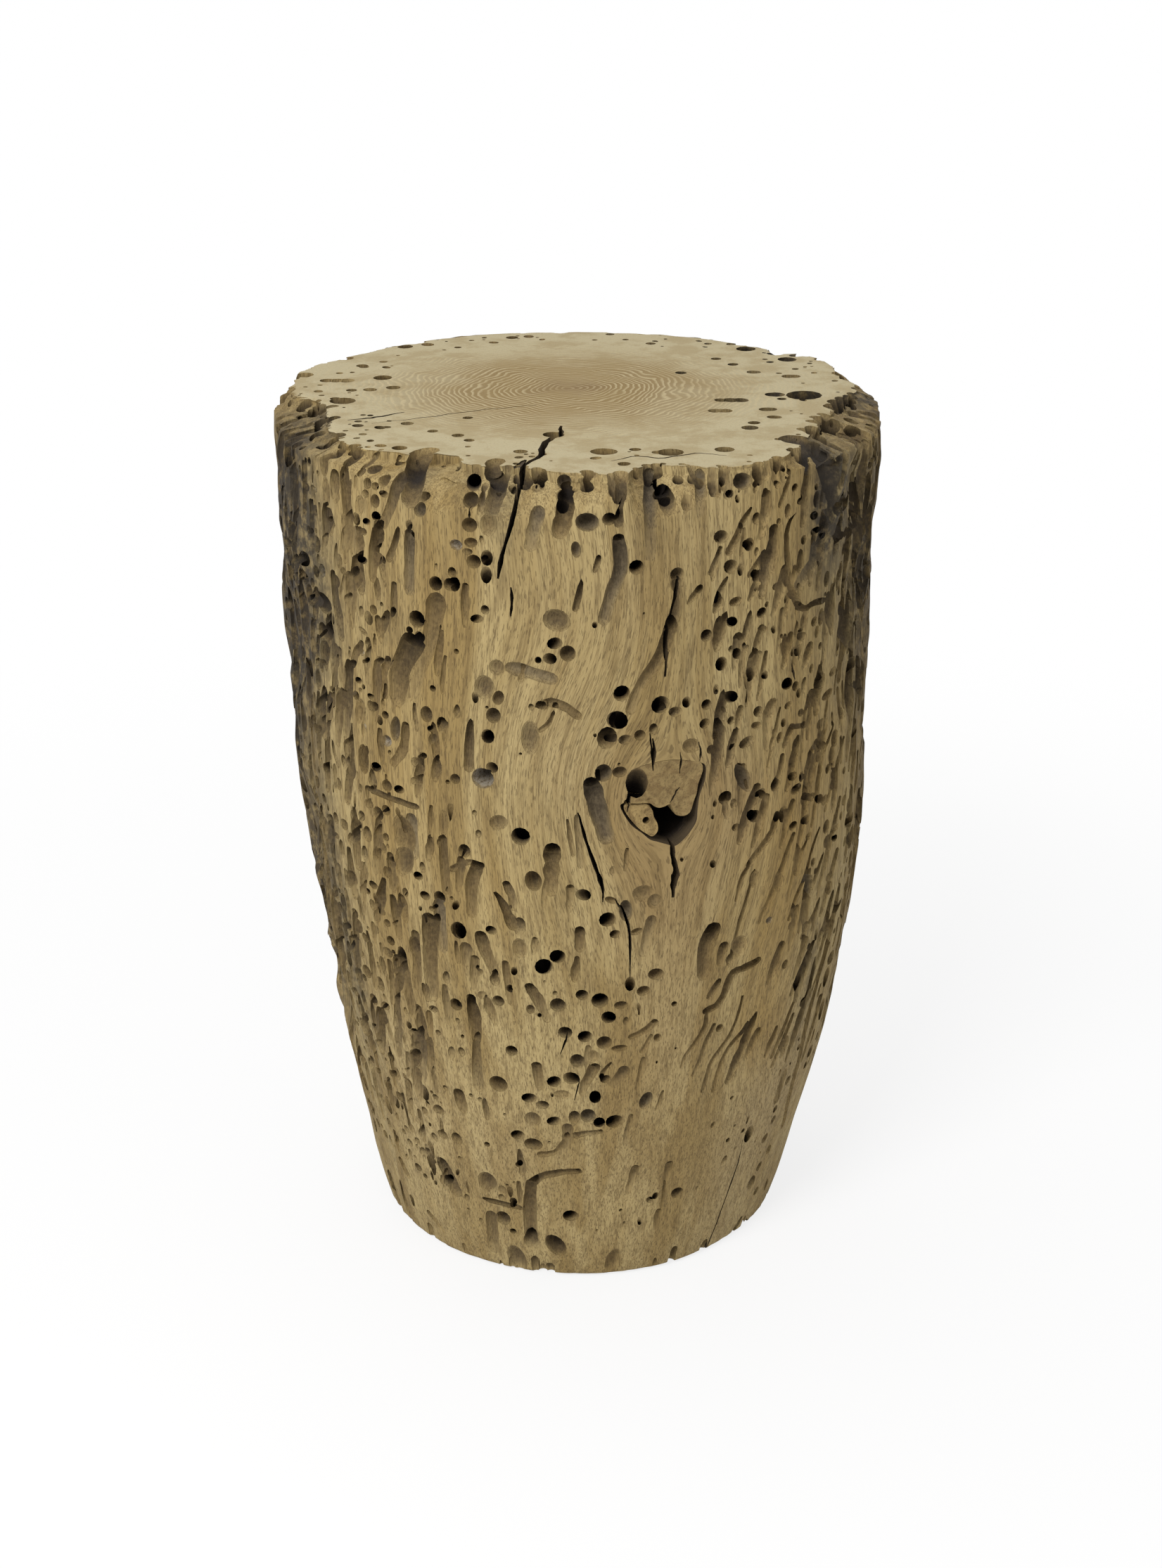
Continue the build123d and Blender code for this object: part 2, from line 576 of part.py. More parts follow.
write("trunk", trunk)
write("knot_upper", knot_upper)
write("knot_left", knot_left)
for number, place in enumerate(glide_places(), start=1):
    write("glide_cup_%d" % number, Pos(place) * glide_cup())
    write("glide_felt_%d" % number, Pos(place) * glide_felt())
write("glide_nails", Compound(children=[Pos(place) * glide_nail() for place in glide_places()]))

print("log volume in litres", round(trunk.volume / 1e6, 2), "cuts", len(cuts))
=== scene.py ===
# %% [markdown]
# # A log stool bored by shipworm
#
# The real object is one length of timber that lay in sea water. Shipworm ate round tunnels through it,
# the sea wore its sides, and drying opened long cracks. A saw then cut both ends flat. This lesson
# builds it in Blender: first the worn barrel, then the tunnels cut with real booleans, so that every
# hole has a crisp mouth and a dark inside, and last the timber's colour.
#
# The construction model comes first as a fixed frame. Everything below is worked out in millimetres
# and turned into metres when a mesh is made.

# %% Load the frame
import math
import bmesh
import bpy
import mathutils
import numpy as np
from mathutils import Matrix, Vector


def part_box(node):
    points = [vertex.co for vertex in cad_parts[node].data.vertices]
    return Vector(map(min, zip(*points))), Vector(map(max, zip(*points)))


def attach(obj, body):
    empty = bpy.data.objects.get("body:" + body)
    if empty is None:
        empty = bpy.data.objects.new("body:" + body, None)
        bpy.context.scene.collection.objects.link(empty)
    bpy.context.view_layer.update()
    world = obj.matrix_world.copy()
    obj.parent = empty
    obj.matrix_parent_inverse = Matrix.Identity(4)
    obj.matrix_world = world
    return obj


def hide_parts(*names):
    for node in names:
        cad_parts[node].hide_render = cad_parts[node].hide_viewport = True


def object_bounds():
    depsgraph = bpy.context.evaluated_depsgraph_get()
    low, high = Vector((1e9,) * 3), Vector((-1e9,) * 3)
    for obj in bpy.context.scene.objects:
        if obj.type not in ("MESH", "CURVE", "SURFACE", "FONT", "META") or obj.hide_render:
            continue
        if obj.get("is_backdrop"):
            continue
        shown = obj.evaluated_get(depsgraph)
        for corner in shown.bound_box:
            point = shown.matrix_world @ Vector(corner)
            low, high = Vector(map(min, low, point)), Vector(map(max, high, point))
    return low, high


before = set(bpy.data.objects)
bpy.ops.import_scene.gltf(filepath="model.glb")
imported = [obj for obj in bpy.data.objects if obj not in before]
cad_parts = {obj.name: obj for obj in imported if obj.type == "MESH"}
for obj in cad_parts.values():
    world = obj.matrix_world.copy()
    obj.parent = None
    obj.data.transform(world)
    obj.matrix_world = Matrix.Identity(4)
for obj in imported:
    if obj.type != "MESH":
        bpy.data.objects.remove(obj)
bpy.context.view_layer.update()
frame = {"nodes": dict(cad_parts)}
MM = 0.001
trunk_low, trunk_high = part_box("trunk")
BASE = trunk_low.z / MM
SEAT = trunk_high.z / MM
GIRTH = (trunk_high.x - trunk_low.x) / MM / 2
TALL = SEAT - BASE
print("log from", round(BASE, 2), "to", round(SEAT, 2), "mm, girth radius", round(GIRTH, 2))

# %% [markdown]
# ## The camera
#
# A camera that matches the picture lets each hole be placed by the pixel where it shows. Its distance,
# height and focal length were found by fitting the barrel's outline to the picture's. The picture is
# 1652 by 2230 pixels, and its middle lies on the camera's axis, so no shift is needed.

# %% Camera
PICTURE_WIDE, PICTURE_TALL = 1652, 2230
FOCAL_PIXELS = 3619
CAMERA_AT = np.array([2.0, -1256.8, 758.4])
CAMERA_PITCH = math.radians(22.485)
SENSOR_MM = 36.0

camera_data = bpy.data.cameras.new("picture_camera")
camera_data.sensor_fit = "VERTICAL"
camera_data.sensor_height = SENSOR_MM
camera_data.lens = SENSOR_MM * FOCAL_PIXELS / PICTURE_TALL
camera = bpy.data.objects.new("picture_camera", camera_data)
camera.location = CAMERA_AT * MM
camera.rotation_euler = (math.pi / 2 - CAMERA_PITCH, 0, 0)
bpy.context.collection.objects.link(camera)
bpy.context.scene.camera = camera
print("lens of", round(camera_data.lens, 1), "mm, pitched down by", round(math.degrees(CAMERA_PITCH), 1))


def sight_lines(pixels):
    """Directions from the camera through places in the picture, one row each."""
    pixels = np.asarray(pixels, float).reshape(-1, 2)
    across = (pixels[:, 0] - PICTURE_WIDE / 2) / FOCAL_PIXELS
    up = (PICTURE_TALL / 2 - pixels[:, 1]) / FOCAL_PIXELS
    cos, sin = math.cos(CAMERA_PITCH), math.sin(CAMERA_PITCH)
    return np.column_stack([across, cos + up * sin, up * cos - sin])


def to_picture(points):
    """Places in the picture of points on the log."""
    away = np.asarray(points, float).reshape(-1, 3) - CAMERA_AT
    cos, sin = math.cos(CAMERA_PITCH), math.sin(CAMERA_PITCH)
    depth = away[:, 1] * cos - away[:, 2] * sin
    up = away[:, 1] * sin + away[:, 2] * cos
    x = PICTURE_WIDE / 2 + FOCAL_PIXELS * away[:, 0] / depth
    return np.column_stack([x, PICTURE_TALL / 2 - FOCAL_PIXELS * up / depth])


# %% [markdown]
# ## The barrel
#
# The log is widest under the seat and leans a little to the right half way down. Two short tables hold
# its outline and its lean, and a curve runs smoothly through their points.

# %% Outline and lean
# Height share and radius share of the log's girth
OUTLINE = np.array([
    (0.000, 0.705), (0.033, 0.733), (0.111, 0.784), (0.244, 0.872), (0.378, 0.935), (0.511, 0.975),
    (0.644, 0.986), (0.778, 0.990), (0.889, 0.998), (0.956, 0.996), (1.000, 0.990),
])
# Height share and how far the middle lies to the right, in millimetres
LEAN = np.array([
    (0.0, 1.6), (0.11, 2.3), (0.24, 3.8), (0.38, 3.6), (0.51, 2.1), (0.65, 0.8), (0.78, 0.0), (1.0, 0.0),
])


def smooth_through(table, at):
    """Value of a smooth curve through a table's points."""
    x, y = table[:, 0], table[:, 1]
    slope = np.gradient(y, x)
    at = np.clip(at, x[0], x[-1])
    right = np.clip(np.searchsorted(x, at), 1, len(x) - 1)
    left = right - 1
    step = x[right] - x[left]
    t = (at - x[left]) / step
    start = (1 + 2 * t) * (1 - t) ** 2 * y[left] + t * (1 - t) ** 2 * step * slope[left]
    return start + t * t * (3 - 2 * t) * y[right] + t * t * (t - 1) * step * slope[right]


def radius_at(z):
    """Radius of the barrel at a height in millimetres."""
    return GIRTH * smooth_through(OUTLINE, (np.asarray(z, float) - BASE) / TALL)


def middle_at(z):
    """How far right of the frame's axis the barrel's middle lies at a height."""
    return smooth_through(LEAN, (np.asarray(z, float) - BASE) / TALL)


def on_seat(pixels):
    """Points on the seat's plane that places in the picture show."""
    lines = sight_lines(pixels)
    reach = (SEAT - CAMERA_AT[2]) / lines[:, 2]
    return CAMERA_AT + lines * reach[:, None]


def outward(turn):
    """Level direction out of the log at a turn from the front."""
    return np.array([math.sin(turn), -math.cos(turn), 0.0])


def ring_point(turn, reach, z):
    """Point at a turn, a reach from the log's middle and a height."""
    return np.array([float(middle_at(z)) + reach * math.sin(turn), -reach * math.cos(turn), z])


def side_point(turn, z, depth=0.0):
    """Point on the side of the log, or under it by a depth."""
    return ring_point(turn, float(radius_at(z)) - depth, z)


def centred(value, whole=math.tau):
    """Value on a circle, brought between half the circle below zero and half above."""
    return (value + whole / 2) % whole - whole / 2


print("front of the seat shows at row", round(to_picture(side_point(0, SEAT))[0, 1]))

# %% [markdown]
# ## The worn skin
#
# Between its holes the log isn't smooth. The sea left broad hollows, upright flutes that follow the
# grain, and badly eaten strips, the worst ones on the two sides. A relief map over the turn and the
# height holds all of that as a depth in millimetres under the barrel. Only the seat's edge bulges out
# of the barrel in places, and it stays inside the log's girth.

# %% Soft noise that closes up round the log
lattices = {}


def soft_noise(turn_share, height_share, cells, seed):
    """Smooth random values from 0 to 1, on so many cells round and up the log."""
    round_cells, up_cells = cells
    if (cells, seed) not in lattices:
        lattices[cells, seed] = np.random.default_rng(seed).random((up_cells + 2, round_cells))
    lattice = lattices[cells, seed]
    x = (np.asarray(turn_share) % 1.0) * round_cells
    y = np.clip(height_share, 0, 1) * up_cells
    column, row = np.floor(x).astype(int), np.floor(y).astype(int)
    across, up = (t * t * (3 - 2 * t) for t in (x - column, y - row))
    column, after = column % round_cells, (column + 1) % round_cells
    low = lattice[row, column] * (1 - across) + lattice[row, after] * across
    high = lattice[row + 1, column] * (1 - across) + lattice[row + 1, after] * across
    return low * (1 - up) + high * up


def layered(turn_share, height_share, layers):
    """Sum of soft noises, each given as its strength, its cells round and up, and its seed."""
    return sum(strength * soft_noise(turn_share, height_share, cells, seed) for strength, cells, seed in layers)


def bump_at(turn, middle, width):
    """A soft bump round the log, 1 at a turn in degrees and fading over a width in degrees."""
    away = centred(np.degrees(turn) - middle, 360)
    return np.exp(-((away / width) ** 2))


# %% The seat's edge and the badly worn strips
# Turn from the front in degrees, and how far the flat seat reaches there in millimetres
RIM_LINE = np.array([
    (-180, 152), (-170, 152), (-162, 154), (-155, 155.5), (-147, 155.5), (-140, 154.5), (-130, 153), (-121, 151),
    (-117, 153.7), (-110, 155.2), (-105, 153.7), (-101, 150.5), (-95, 150.5), (-90, 146.6), (-86, 137), (-81, 131),
    (-76, 133), (-66, 136), (-60, 140), (-54, 143), (-50, 146), (-46, 144), (-43, 146), (-40, 144), (-37, 139),
    (-34, 140), (-31, 136), (-30, 131), (-25, 131), (-22, 141), (-18, 143), (-14, 140), (-11, 138), (-8.7, 142),
    (-5.6, 145), (-2, 147), (4, 150), (8.4, 154), (10.3, 143), (13.8, 138), (16, 140), (18, 143), (20.6, 145),
    (22.6, 150), (24.4, 154), (29, 155), (36, 155), (39, 153), (44, 149), (51, 141), (58, 136), (65, 135),
    (72, 134), (80, 135), (88, 137), (93, 143.5), (100, 146), (105, 142), (111, 145), (115, 150), (121, 153),
    (128, 153), (131, 144.3), (133, 144.3), (136, 150), (149, 151.6), (159, 153), (168, 151.5), (180, 152),
])
# Turn in degrees, width in degrees, height share where the wear starts, and its strength
WORN_STRIPS = (
    (-80, 19, 0.14, 1.0), (66, 11, 0.66, 0.85), (82, 12, 0.25, 0.7), (150, 16, 0.30, 0.7), (-150, 20, 0.05, 0.8),
    (180, 12, 0.55, 0.5),
)


def strip_wear(turn, z):
    """How badly the sea has eaten the side, from 0 to 1."""
    share = (z - BASE) / TALL
    patchy = 0.45 + 0.75 * soft_noise(turn / math.tau, share, (17, 9), 11)
    wear = 0
    for middle, width, start, strength in WORN_STRIPS:
        rise = np.clip((share - start) / 0.25 + 0.3, 0, 1)
        wear = wear + strength * bump_at(turn, middle, width) * rise
    return np.clip(wear * patchy, 0, 1)


# The seat's edge falls away in two slopes that meet at a shoulder, in millimetres under the seat. The
# shoulder keeps a share of the wear, and more of it within some degrees of the front
EDGE_CLEAR = 1.02 * GIRTH
SHOULDER_BELOW, EDGE_BELOW = 7.0, 26.0
BACK_SHOULDER, FRONT_MORE, FRONT_DEGREES = 0.12, 0.54, 48
# Terraces in the slopes, and how much of the worn width they take
TERRACES = ((1.0, (130, 6), 33), (1.0, (46, 3), 34))
TERRACE_SHARE = 0.32
# How far under the seat a bulge of its edge has faded, and how far it stays inside the girth
BULGE_BELOW, BULGE_PLAY = 150, 0.3


def reach_at(turn):
    """How far the flat seat reaches at a turn, in millimetres from the middle."""
    splinters = 2.6 * soft_noise(np.asarray(turn) / math.tau, 0.5, (118, 1), 21) ** 2 - 0.4
    return np.interp(centred(np.degrees(turn), 360), RIM_LINE[:, 0], RIM_LINE[:, 1]) - splinters


def edge_wear(turn, z):
    """Depth of the seat's worn edge under the barrel, below zero where the log bulges there."""
    below = np.maximum(SEAT - z, 0)
    reach = reach_at(turn)
    front_share = np.clip(centred(np.degrees(turn), 360) / FRONT_DEGREES, -1, 1)
    shoulder = BACK_SHOULDER + FRONT_MORE * np.cos(math.pi / 2 * front_share)
    upper = 1 - (1 - shoulder) * below / SHOULDER_BELOW
    lower = shoulder * np.clip((EDGE_BELOW - below) / (EDGE_BELOW - SHOULDER_BELOW), 0, 1)
    rough = TERRACE_SHARE * layered(np.asarray(turn) / math.tau, below / 10, TERRACES) * (EDGE_CLEAR - reach)
    rough = rough * np.clip(below / 1.5, 0, 1) * np.clip(2 - below / 5, 0, 1)
    edge = EDGE_CLEAR - (EDGE_CLEAR - reach) * np.where(below < SHOULDER_BELOW, upper, lower)
    edge = np.maximum(edge - rough, np.minimum(edge, reach - 1))
    bulge = np.minimum(float(radius_at(SEAT)) - reach, 0) * np.clip(1 - below / BULGE_BELOW, 0, 1)
    return np.maximum(radius_at(z) - edge, np.maximum(bulge, radius_at(z) - GIRTH + BULGE_PLAY))


# %% Broad hollows in the worn strips
# They climb each worn strip in two staggered rows. Their steps up are a share of the height, their
# sway and their width shares of the strip's half width, and their depth a share of their own width
HOLLOW_STEP, HOLLOW_SWAY, HOLLOW_WIDE, HOLLOW_DEEP = 0.11, 0.4, 1.25, 0.075
HOLLOWS = []
for strip_turn, half_width, start, strength in WORN_STRIPS:
    for level in range(int((1 - start) / HOLLOW_STEP)):
        sway = half_width * (HOLLOW_SWAY if level % 2 else -HOLLOW_SWAY)
        across = HOLLOW_WIDE * math.radians(half_width) * GIRTH
        height = BASE + TALL * (start + HOLLOW_STEP * (level + 0.5))
        HOLLOWS.append((math.radians(strip_turn + sway), height, across, HOLLOW_DEEP * across))


def hollow_wear(turn, z):
    """Depth of the broad hollows in the worn strips, in millimetres."""
    deepest = 0
    for middle, height, across, deep in HOLLOWS:
        ball = (across * across / 4 + deep * deep) / (2 * deep)
        radius = float(radius_at(height))
        away = centred(turn - middle) * radius
        dish = deep - away ** 2 / 2 * (1 / ball + 1 / radius) - (z - height) ** 2 / 2 / ball
        deepest = np.maximum(deepest, dish)
    return deepest


# %% Relief of the side and of the seat: depths in millimetres, cells round and up the log, and seeds
BROAD_WAVES = ((1.3, (6, 3), 1), (0.8, (15, 8), 2))
FLUTES = ((0.45, (210, 13), 3), (0.6, (84, 8), 31))
RIDGES = ((2.8, (170, 17), 6), (1.5, (280, 46), 7))


def broad_relief(turn, z):
    """Depth of the seat's uneven edge and of the broad hollows under the barrel, in millimetres."""
    below = np.maximum(SEAT - z, 0)
    broad = layered(turn / math.tau, (z - BASE) / TALL, BROAD_WAVES)
    return broad * np.clip(below / 40, 0.2, 1) + edge_wear(turn, z) + hollow_wear(turn, z)


def side_relief(turn, z):
    """Depth that is worn off the side at a turn and a height, in millimetres."""
    around, share = turn / math.tau, (z - BASE) / TALL
    eaten = 2.2 * soft_noise(around, share, (44, 14), 4) ** 2 + 3.2 * soft_noise(around, share, (96, 26), 5)
    worn = strip_wear(turn, z) * (eaten + layered(around, share, RIDGES))
    return broad_relief(turn, z) + layered(around, share, FLUTES) + worn


def seat_relief(turn, radius):
    """Depth that is worn off the seat: a gentle unevenness, and more at the rim of the worn strips."""
    inside = np.maximum(reach_at(turn) - radius, 0)
    x, y = radius * np.sin(turn), radius * np.cos(turn)
    gentle = 0.12 * soft_noise(x / 400 + 0.5, y / 400 + 0.5, (11, 11), 8) * np.clip(inside / 30, 0, 1)
    return gentle + 6 * strip_wear(turn, np.full(np.shape(turn), SEAT)) * np.clip(1 - inside / 9, 0, 1) ** 2


# %% From the picture to the side of the log
# Where a sight line is looked along, as shares of the camera's distance, and in how many steps
SIGHT_FROM, SIGHT_TO, SIGHT_STEPS = 0.84, 1.22, 900


def on_side(pixels):
    """Turn from the front and height where sight lines first meet the log's side."""
    distance = abs(CAMERA_AT[1])
    reach = np.linspace(SIGHT_FROM * distance, SIGHT_TO * distance, SIGHT_STEPS)[None, :, None]
    points = CAMERA_AT + sight_lines(pixels)[:, None, :] * reach
    z = np.clip(points[..., 2], BASE, SEAT)
    x = points[..., 0] - middle_at(z)
    turn = np.arctan2(x, -points[..., 1])
    gap = np.hypot(x, points[..., 1]) - radius_at(z) + broad_relief(turn, z)
    met = gap <= 0
    first = np.where(met.any(1), met.argmax(1), gap.argmin(1))
    rows = np.arange(len(first))
    return turn[rows, first], z[rows, first]


# %% [markdown]
# ## Where the shipworm came out
#
# These tables are read from the picture. Each round hole is a place, a width and a height in
# pixels. A deep hole shows black, a pit shows its floor, and a scoop is the shallow rest of a tunnel
# that the sea wore away. Holes with a grey or white lining are kept apart for their colour.

# %% Holes in the front of the log
DEEP_HOLES = (
    (674, 684, 19, 19), (683, 724, 9, 14), (664, 785, 14, 9), (673, 800, 18, 18), (692, 792, 15, 18),
    (691, 817, 15, 21), (645, 831, 15, 22), (642, 815, 12, 14), (885, 702, 20, 28), (948, 711, 21, 26),
    (866, 739, 19, 17), (905, 806, 18, 18), (689, 868, 12, 12), (678, 880, 18, 11), (1005, 904, 15, 18),
    (789, 915, 21, 15), (781, 936, 18, 14), (765, 939, 8, 8), (675, 991, 8, 15), (693, 1049, 17, 20),
    (699, 1092, 15, 13), (884, 985, 21, 20), (877, 1022, 28, 23), (863, 1052, 27, 28), (890, 1052, 18, 10),
    (906, 1110, 30, 37), (939, 1001, 26, 24), (961, 1013, 18, 12), (976, 998, 12, 14), (1005, 1002, 12, 13),
    (1002, 1028, 14, 13), (1037, 990, 21, 14), (1018, 980, 6, 14), (929, 1038, 12, 19), (1063, 1055, 24, 14),
    (1080, 1014, 13, 14), (1119, 972, 15, 16), (1031, 1136, 18, 18), (1073, 1160, 14, 15), (1047, 1177, 11, 9),
    (660, 1211, 16, 17), (740, 1187, 26, 27), (738, 1317, 17, 26), (652, 1322, 20, 20), (698, 1324, 15, 11),
    (703, 1394, 15, 19), (682, 1382, 8, 6), (793, 1359, 18, 15), (773, 1373, 25, 20), (829, 1272, 21, 14),
    (864, 1308, 22, 18), (875, 1329, 14, 10), (896, 1398, 13, 17), (648, 1430, 18, 17), (708, 1425, 17, 14),
    (803, 1470, 20, 15), (832, 1474, 19, 15), (828, 1416, 18, 14), (853, 1422, 24, 20), (865, 1446, 20, 16),
    (890, 1453, 6, 22), (727, 1494, 18, 15), (861, 1535, 15, 10), (788, 1538, 19, 13), (812, 1533, 24, 16),
    (846, 1560, 15, 18), (753, 1561, 21, 12), (771, 1572, 17, 10), (788, 1594, 22, 12), (817, 1590, 16, 17),
    (852, 1596, 16, 12), (874, 1594, 22, 15), (736, 1614, 19, 11), (649, 1620, 15, 14), (567, 1560, 11, 12),
    (755, 1764, 20, 20), (811, 1729, 20, 14), (1039, 1364, 10, 15), (963, 1696, 15, 14), (1066, 1612, 12, 21),
    (1088, 1619, 8, 11), (1094, 1635, 6, 13), (1080, 1659, 8, 12), (1069, 1682, 10, 20), (1103, 1577, 5, 8),
    (1100, 1593, 6, 10), (1066, 774, 15, 18), (1040, 808, 20, 20), (1022, 859, 14, 22), (1041, 884, 15, 13),
    (1023, 896, 18, 28), (1158, 733, 11, 12), (1176, 738, 18, 27), (1159, 756, 13, 10), (1078, 819, 15, 18),
    (1083, 872, 11, 13), (1138, 713, 8, 9), (1051, 931, 12, 14), (1040, 923, 8, 9), (1026, 944, 16, 17),
    (1071, 953, 10, 17), (1167, 973, 18, 28), (1187, 955, 17, 10), (1168, 919, 5, 10), (1079, 1013, 12, 13),
    (1121, 1003, 10, 9), (1114, 1028, 7, 12), (1167, 1030, 7, 12), (1131, 1062, 10, 20), (1226, 1099, 8, 33),
    (1103, 1116, 13, 16), (1132, 1123, 14, 12), (1156, 1134, 9, 11), (1167, 1136, 8, 11), (1114, 1156, 12, 18),
    (1128, 1175, 10, 10), (1148, 1166, 6, 13), (1151, 1189, 9, 9), (1189, 1177, 9, 9), (1187, 1192, 8, 8),
    (1212, 1238, 7, 9), (1178, 1248, 5, 9), (431, 694, 12, 12), (489, 672, 8, 12), (545, 703, 12, 8),
    (518, 703, 8, 10), (534, 734, 12, 12), (520, 742, 10, 8), (601, 706, 15, 13), (581, 747, 8, 13),
    (619, 831, 15, 18), (638, 831, 15, 18), (592, 879, 22, 27), (515, 797, 12, 10), (499, 842, 8, 7),
    (458, 860, 22, 23), (430, 822, 15, 17), (430, 794, 20, 20), (457, 900, 15, 33), (540, 939, 10, 8),
    (582, 896, 8, 8), (508, 968, 8, 7), (505, 989, 7, 10), (527, 991, 10, 8), (527, 1004, 10, 12),
    (628, 1031, 15, 27), (613, 1037, 11, 8), (535, 1091, 14, 12), (592, 1085, 15, 13), (600, 1075, 10, 7),
    (461, 1095, 9, 13), (589, 1112, 11, 10), (567, 1123, 14, 10), (523, 1144, 12, 12), (537, 1158, 14, 17),
    (513, 1160, 9, 14), (522, 1187, 11, 19), (535, 1190, 7, 13), (476, 1165, 8, 16), (488, 1173, 9, 13),
    (476, 1189, 6, 7), (484, 1209, 8, 31), (594, 1246, 12, 10), (604, 1274, 14, 12), (531, 1259, 12, 10),
    (523, 1267, 8, 8), (625, 1200, 8, 15), (625, 1277, 15, 16), (551, 1354, 13, 12), (458, 1319, 8, 8),
    (494, 1349, 8, 22), (493, 1363, 8, 28), (590, 1449, 3, 16), (586, 1471, 11, 8), (564, 1529, 11, 18),
    (516, 1463, 20, 25),
)
PITS = (
    (669, 711, 21, 21), (667, 747, 21, 20), (669, 772, 18, 13), (838, 674, 25, 13), (963, 817, 19, 19),
    (807, 930, 22, 22), (708, 993, 15, 20), (701, 1018, 20, 21), (647, 1108, 13, 13), (881, 1098, 20, 14),
    (910, 1046, 15, 14), (1011, 1066, 11, 12), (1076, 1032, 14, 9), (758, 1253, 24, 28), (905, 1325, 17, 8),
    (869, 1281, 18, 8), (754, 1436, 11, 12), (793, 1430, 22, 18), (883, 1430, 19, 10), (859, 1483, 21, 17),
    (881, 1491, 23, 8), (821, 1509, 20, 18), (708, 1542, 26, 21), (758, 1628, 26, 15), (623, 1579, 15, 12),
    (629, 1614, 14, 11), (715, 1733, 20, 18), (790, 1772, 26, 30), (933, 1386, 22, 15), (915, 1410, 18, 13),
    (1117, 1372, 9, 12), (1024, 1463, 10, 10), (935, 1476, 10, 10), (1014, 1600, 5, 8), (924, 1707, 8, 8),
    (1076, 1694, 7, 10), (1090, 1685, 5, 18), (1026, 764, 20, 18), (1047, 856, 18, 12), (1085, 895, 15, 9),
    (1105, 834, 12, 10), (1179, 988, 22, 12), (1109, 1049, 8, 15), (1140, 1014, 8, 10), (1129, 1086, 9, 18),
    (1174, 1138, 10, 13), (1183, 1362, 11, 18), (513, 672, 7, 12), (532, 667, 14, 13), (545, 683, 14, 17),
    (521, 688, 10, 15), (532, 692, 9, 10), (532, 713, 12, 19), (476, 827, 12, 18), (515, 898, 15, 7),
    (596, 907, 11, 18), (606, 1016, 16, 22), (614, 1052, 10, 16), (446, 1036, 7, 15), (535, 1216, 10, 18),
    (549, 1241, 8, 16), (530, 1287, 8, 15), (542, 1285, 8, 10), (543, 1297, 9, 8), (571, 1355, 10, 16),
    (547, 1431, 14, 10), (616, 1435, 13, 8), (589, 1490, 10, 12), (622, 1579, 14, 10),
)
SCOOPS = (
    (767, 691, 21, 12), (791, 883, 38, 30), (694, 746, 24, 35), (963, 830, 19, 24), (706, 950, 22, 22),
    (688, 978, 28, 34), (754, 1049, 25, 48), (983, 1061, 24, 20), (709, 1170, 25, 20), (739, 1349, 21, 28),
    (871, 1239, 8, 12), (686, 1416, 13, 11), (842, 1503, 20, 17), (799, 1557, 23, 10), (757, 1592, 23, 18),
    (693, 1682, 28, 28), (714, 1693, 11, 11), (735, 1790, 26, 36), (915, 1271, 33, 23), (931, 1282, 20, 20),
    (1052, 1346, 22, 30), (887, 1524, 18, 15), (872, 1792, 20, 30), (510, 720, 12, 32), (462, 701, 10, 45),
    (489, 743, 10, 30), (511, 1012, 13, 38), (630, 1171, 12, 38), (574, 1190, 30, 60), (574, 1225, 26, 50),
    (1073, 1250, 14, 24), (1108, 1252, 15, 30),
)
GREY_PITS = (
    (802, 685, 20, 19), (835, 743, 34, 26), (819, 782, 13, 23), (858, 1100, 24, 24), (1057, 1106, 18, 49),
    (890, 1296, 18, 30), (836, 1587, 21, 18), (596, 725, 16, 20), (561, 1037, 13, 36), (1213, 1190, 12, 33),
    (1149, 1264, 15, 40), (919, 1566, 18, 23), (1057, 685, 27, 23),
)
WHITE_PITS = (
    (648, 775, 17, 14), (686, 1107, 31, 28), (549, 1054, 12, 15), (445, 697, 6, 7), (455, 812, 9, 18),
    (513, 928, 6, 9), (516, 1033, 6, 7), (1094, 1309, 8, 8),
)
print(len(DEEP_HOLES), "deep holes,", len(PITS), "pits,", len(SCOOPS), "scoops")

# %% [markdown]
# Where the sea wore a tunnel open along its length, it shows as a gallery. A gallery is a width at its
# start, a width at its end, how deep its middle lies as a share of its radius, and the places along it.
# Galleries with a grey floor are kept apart again, because old tunnel linings are grey.

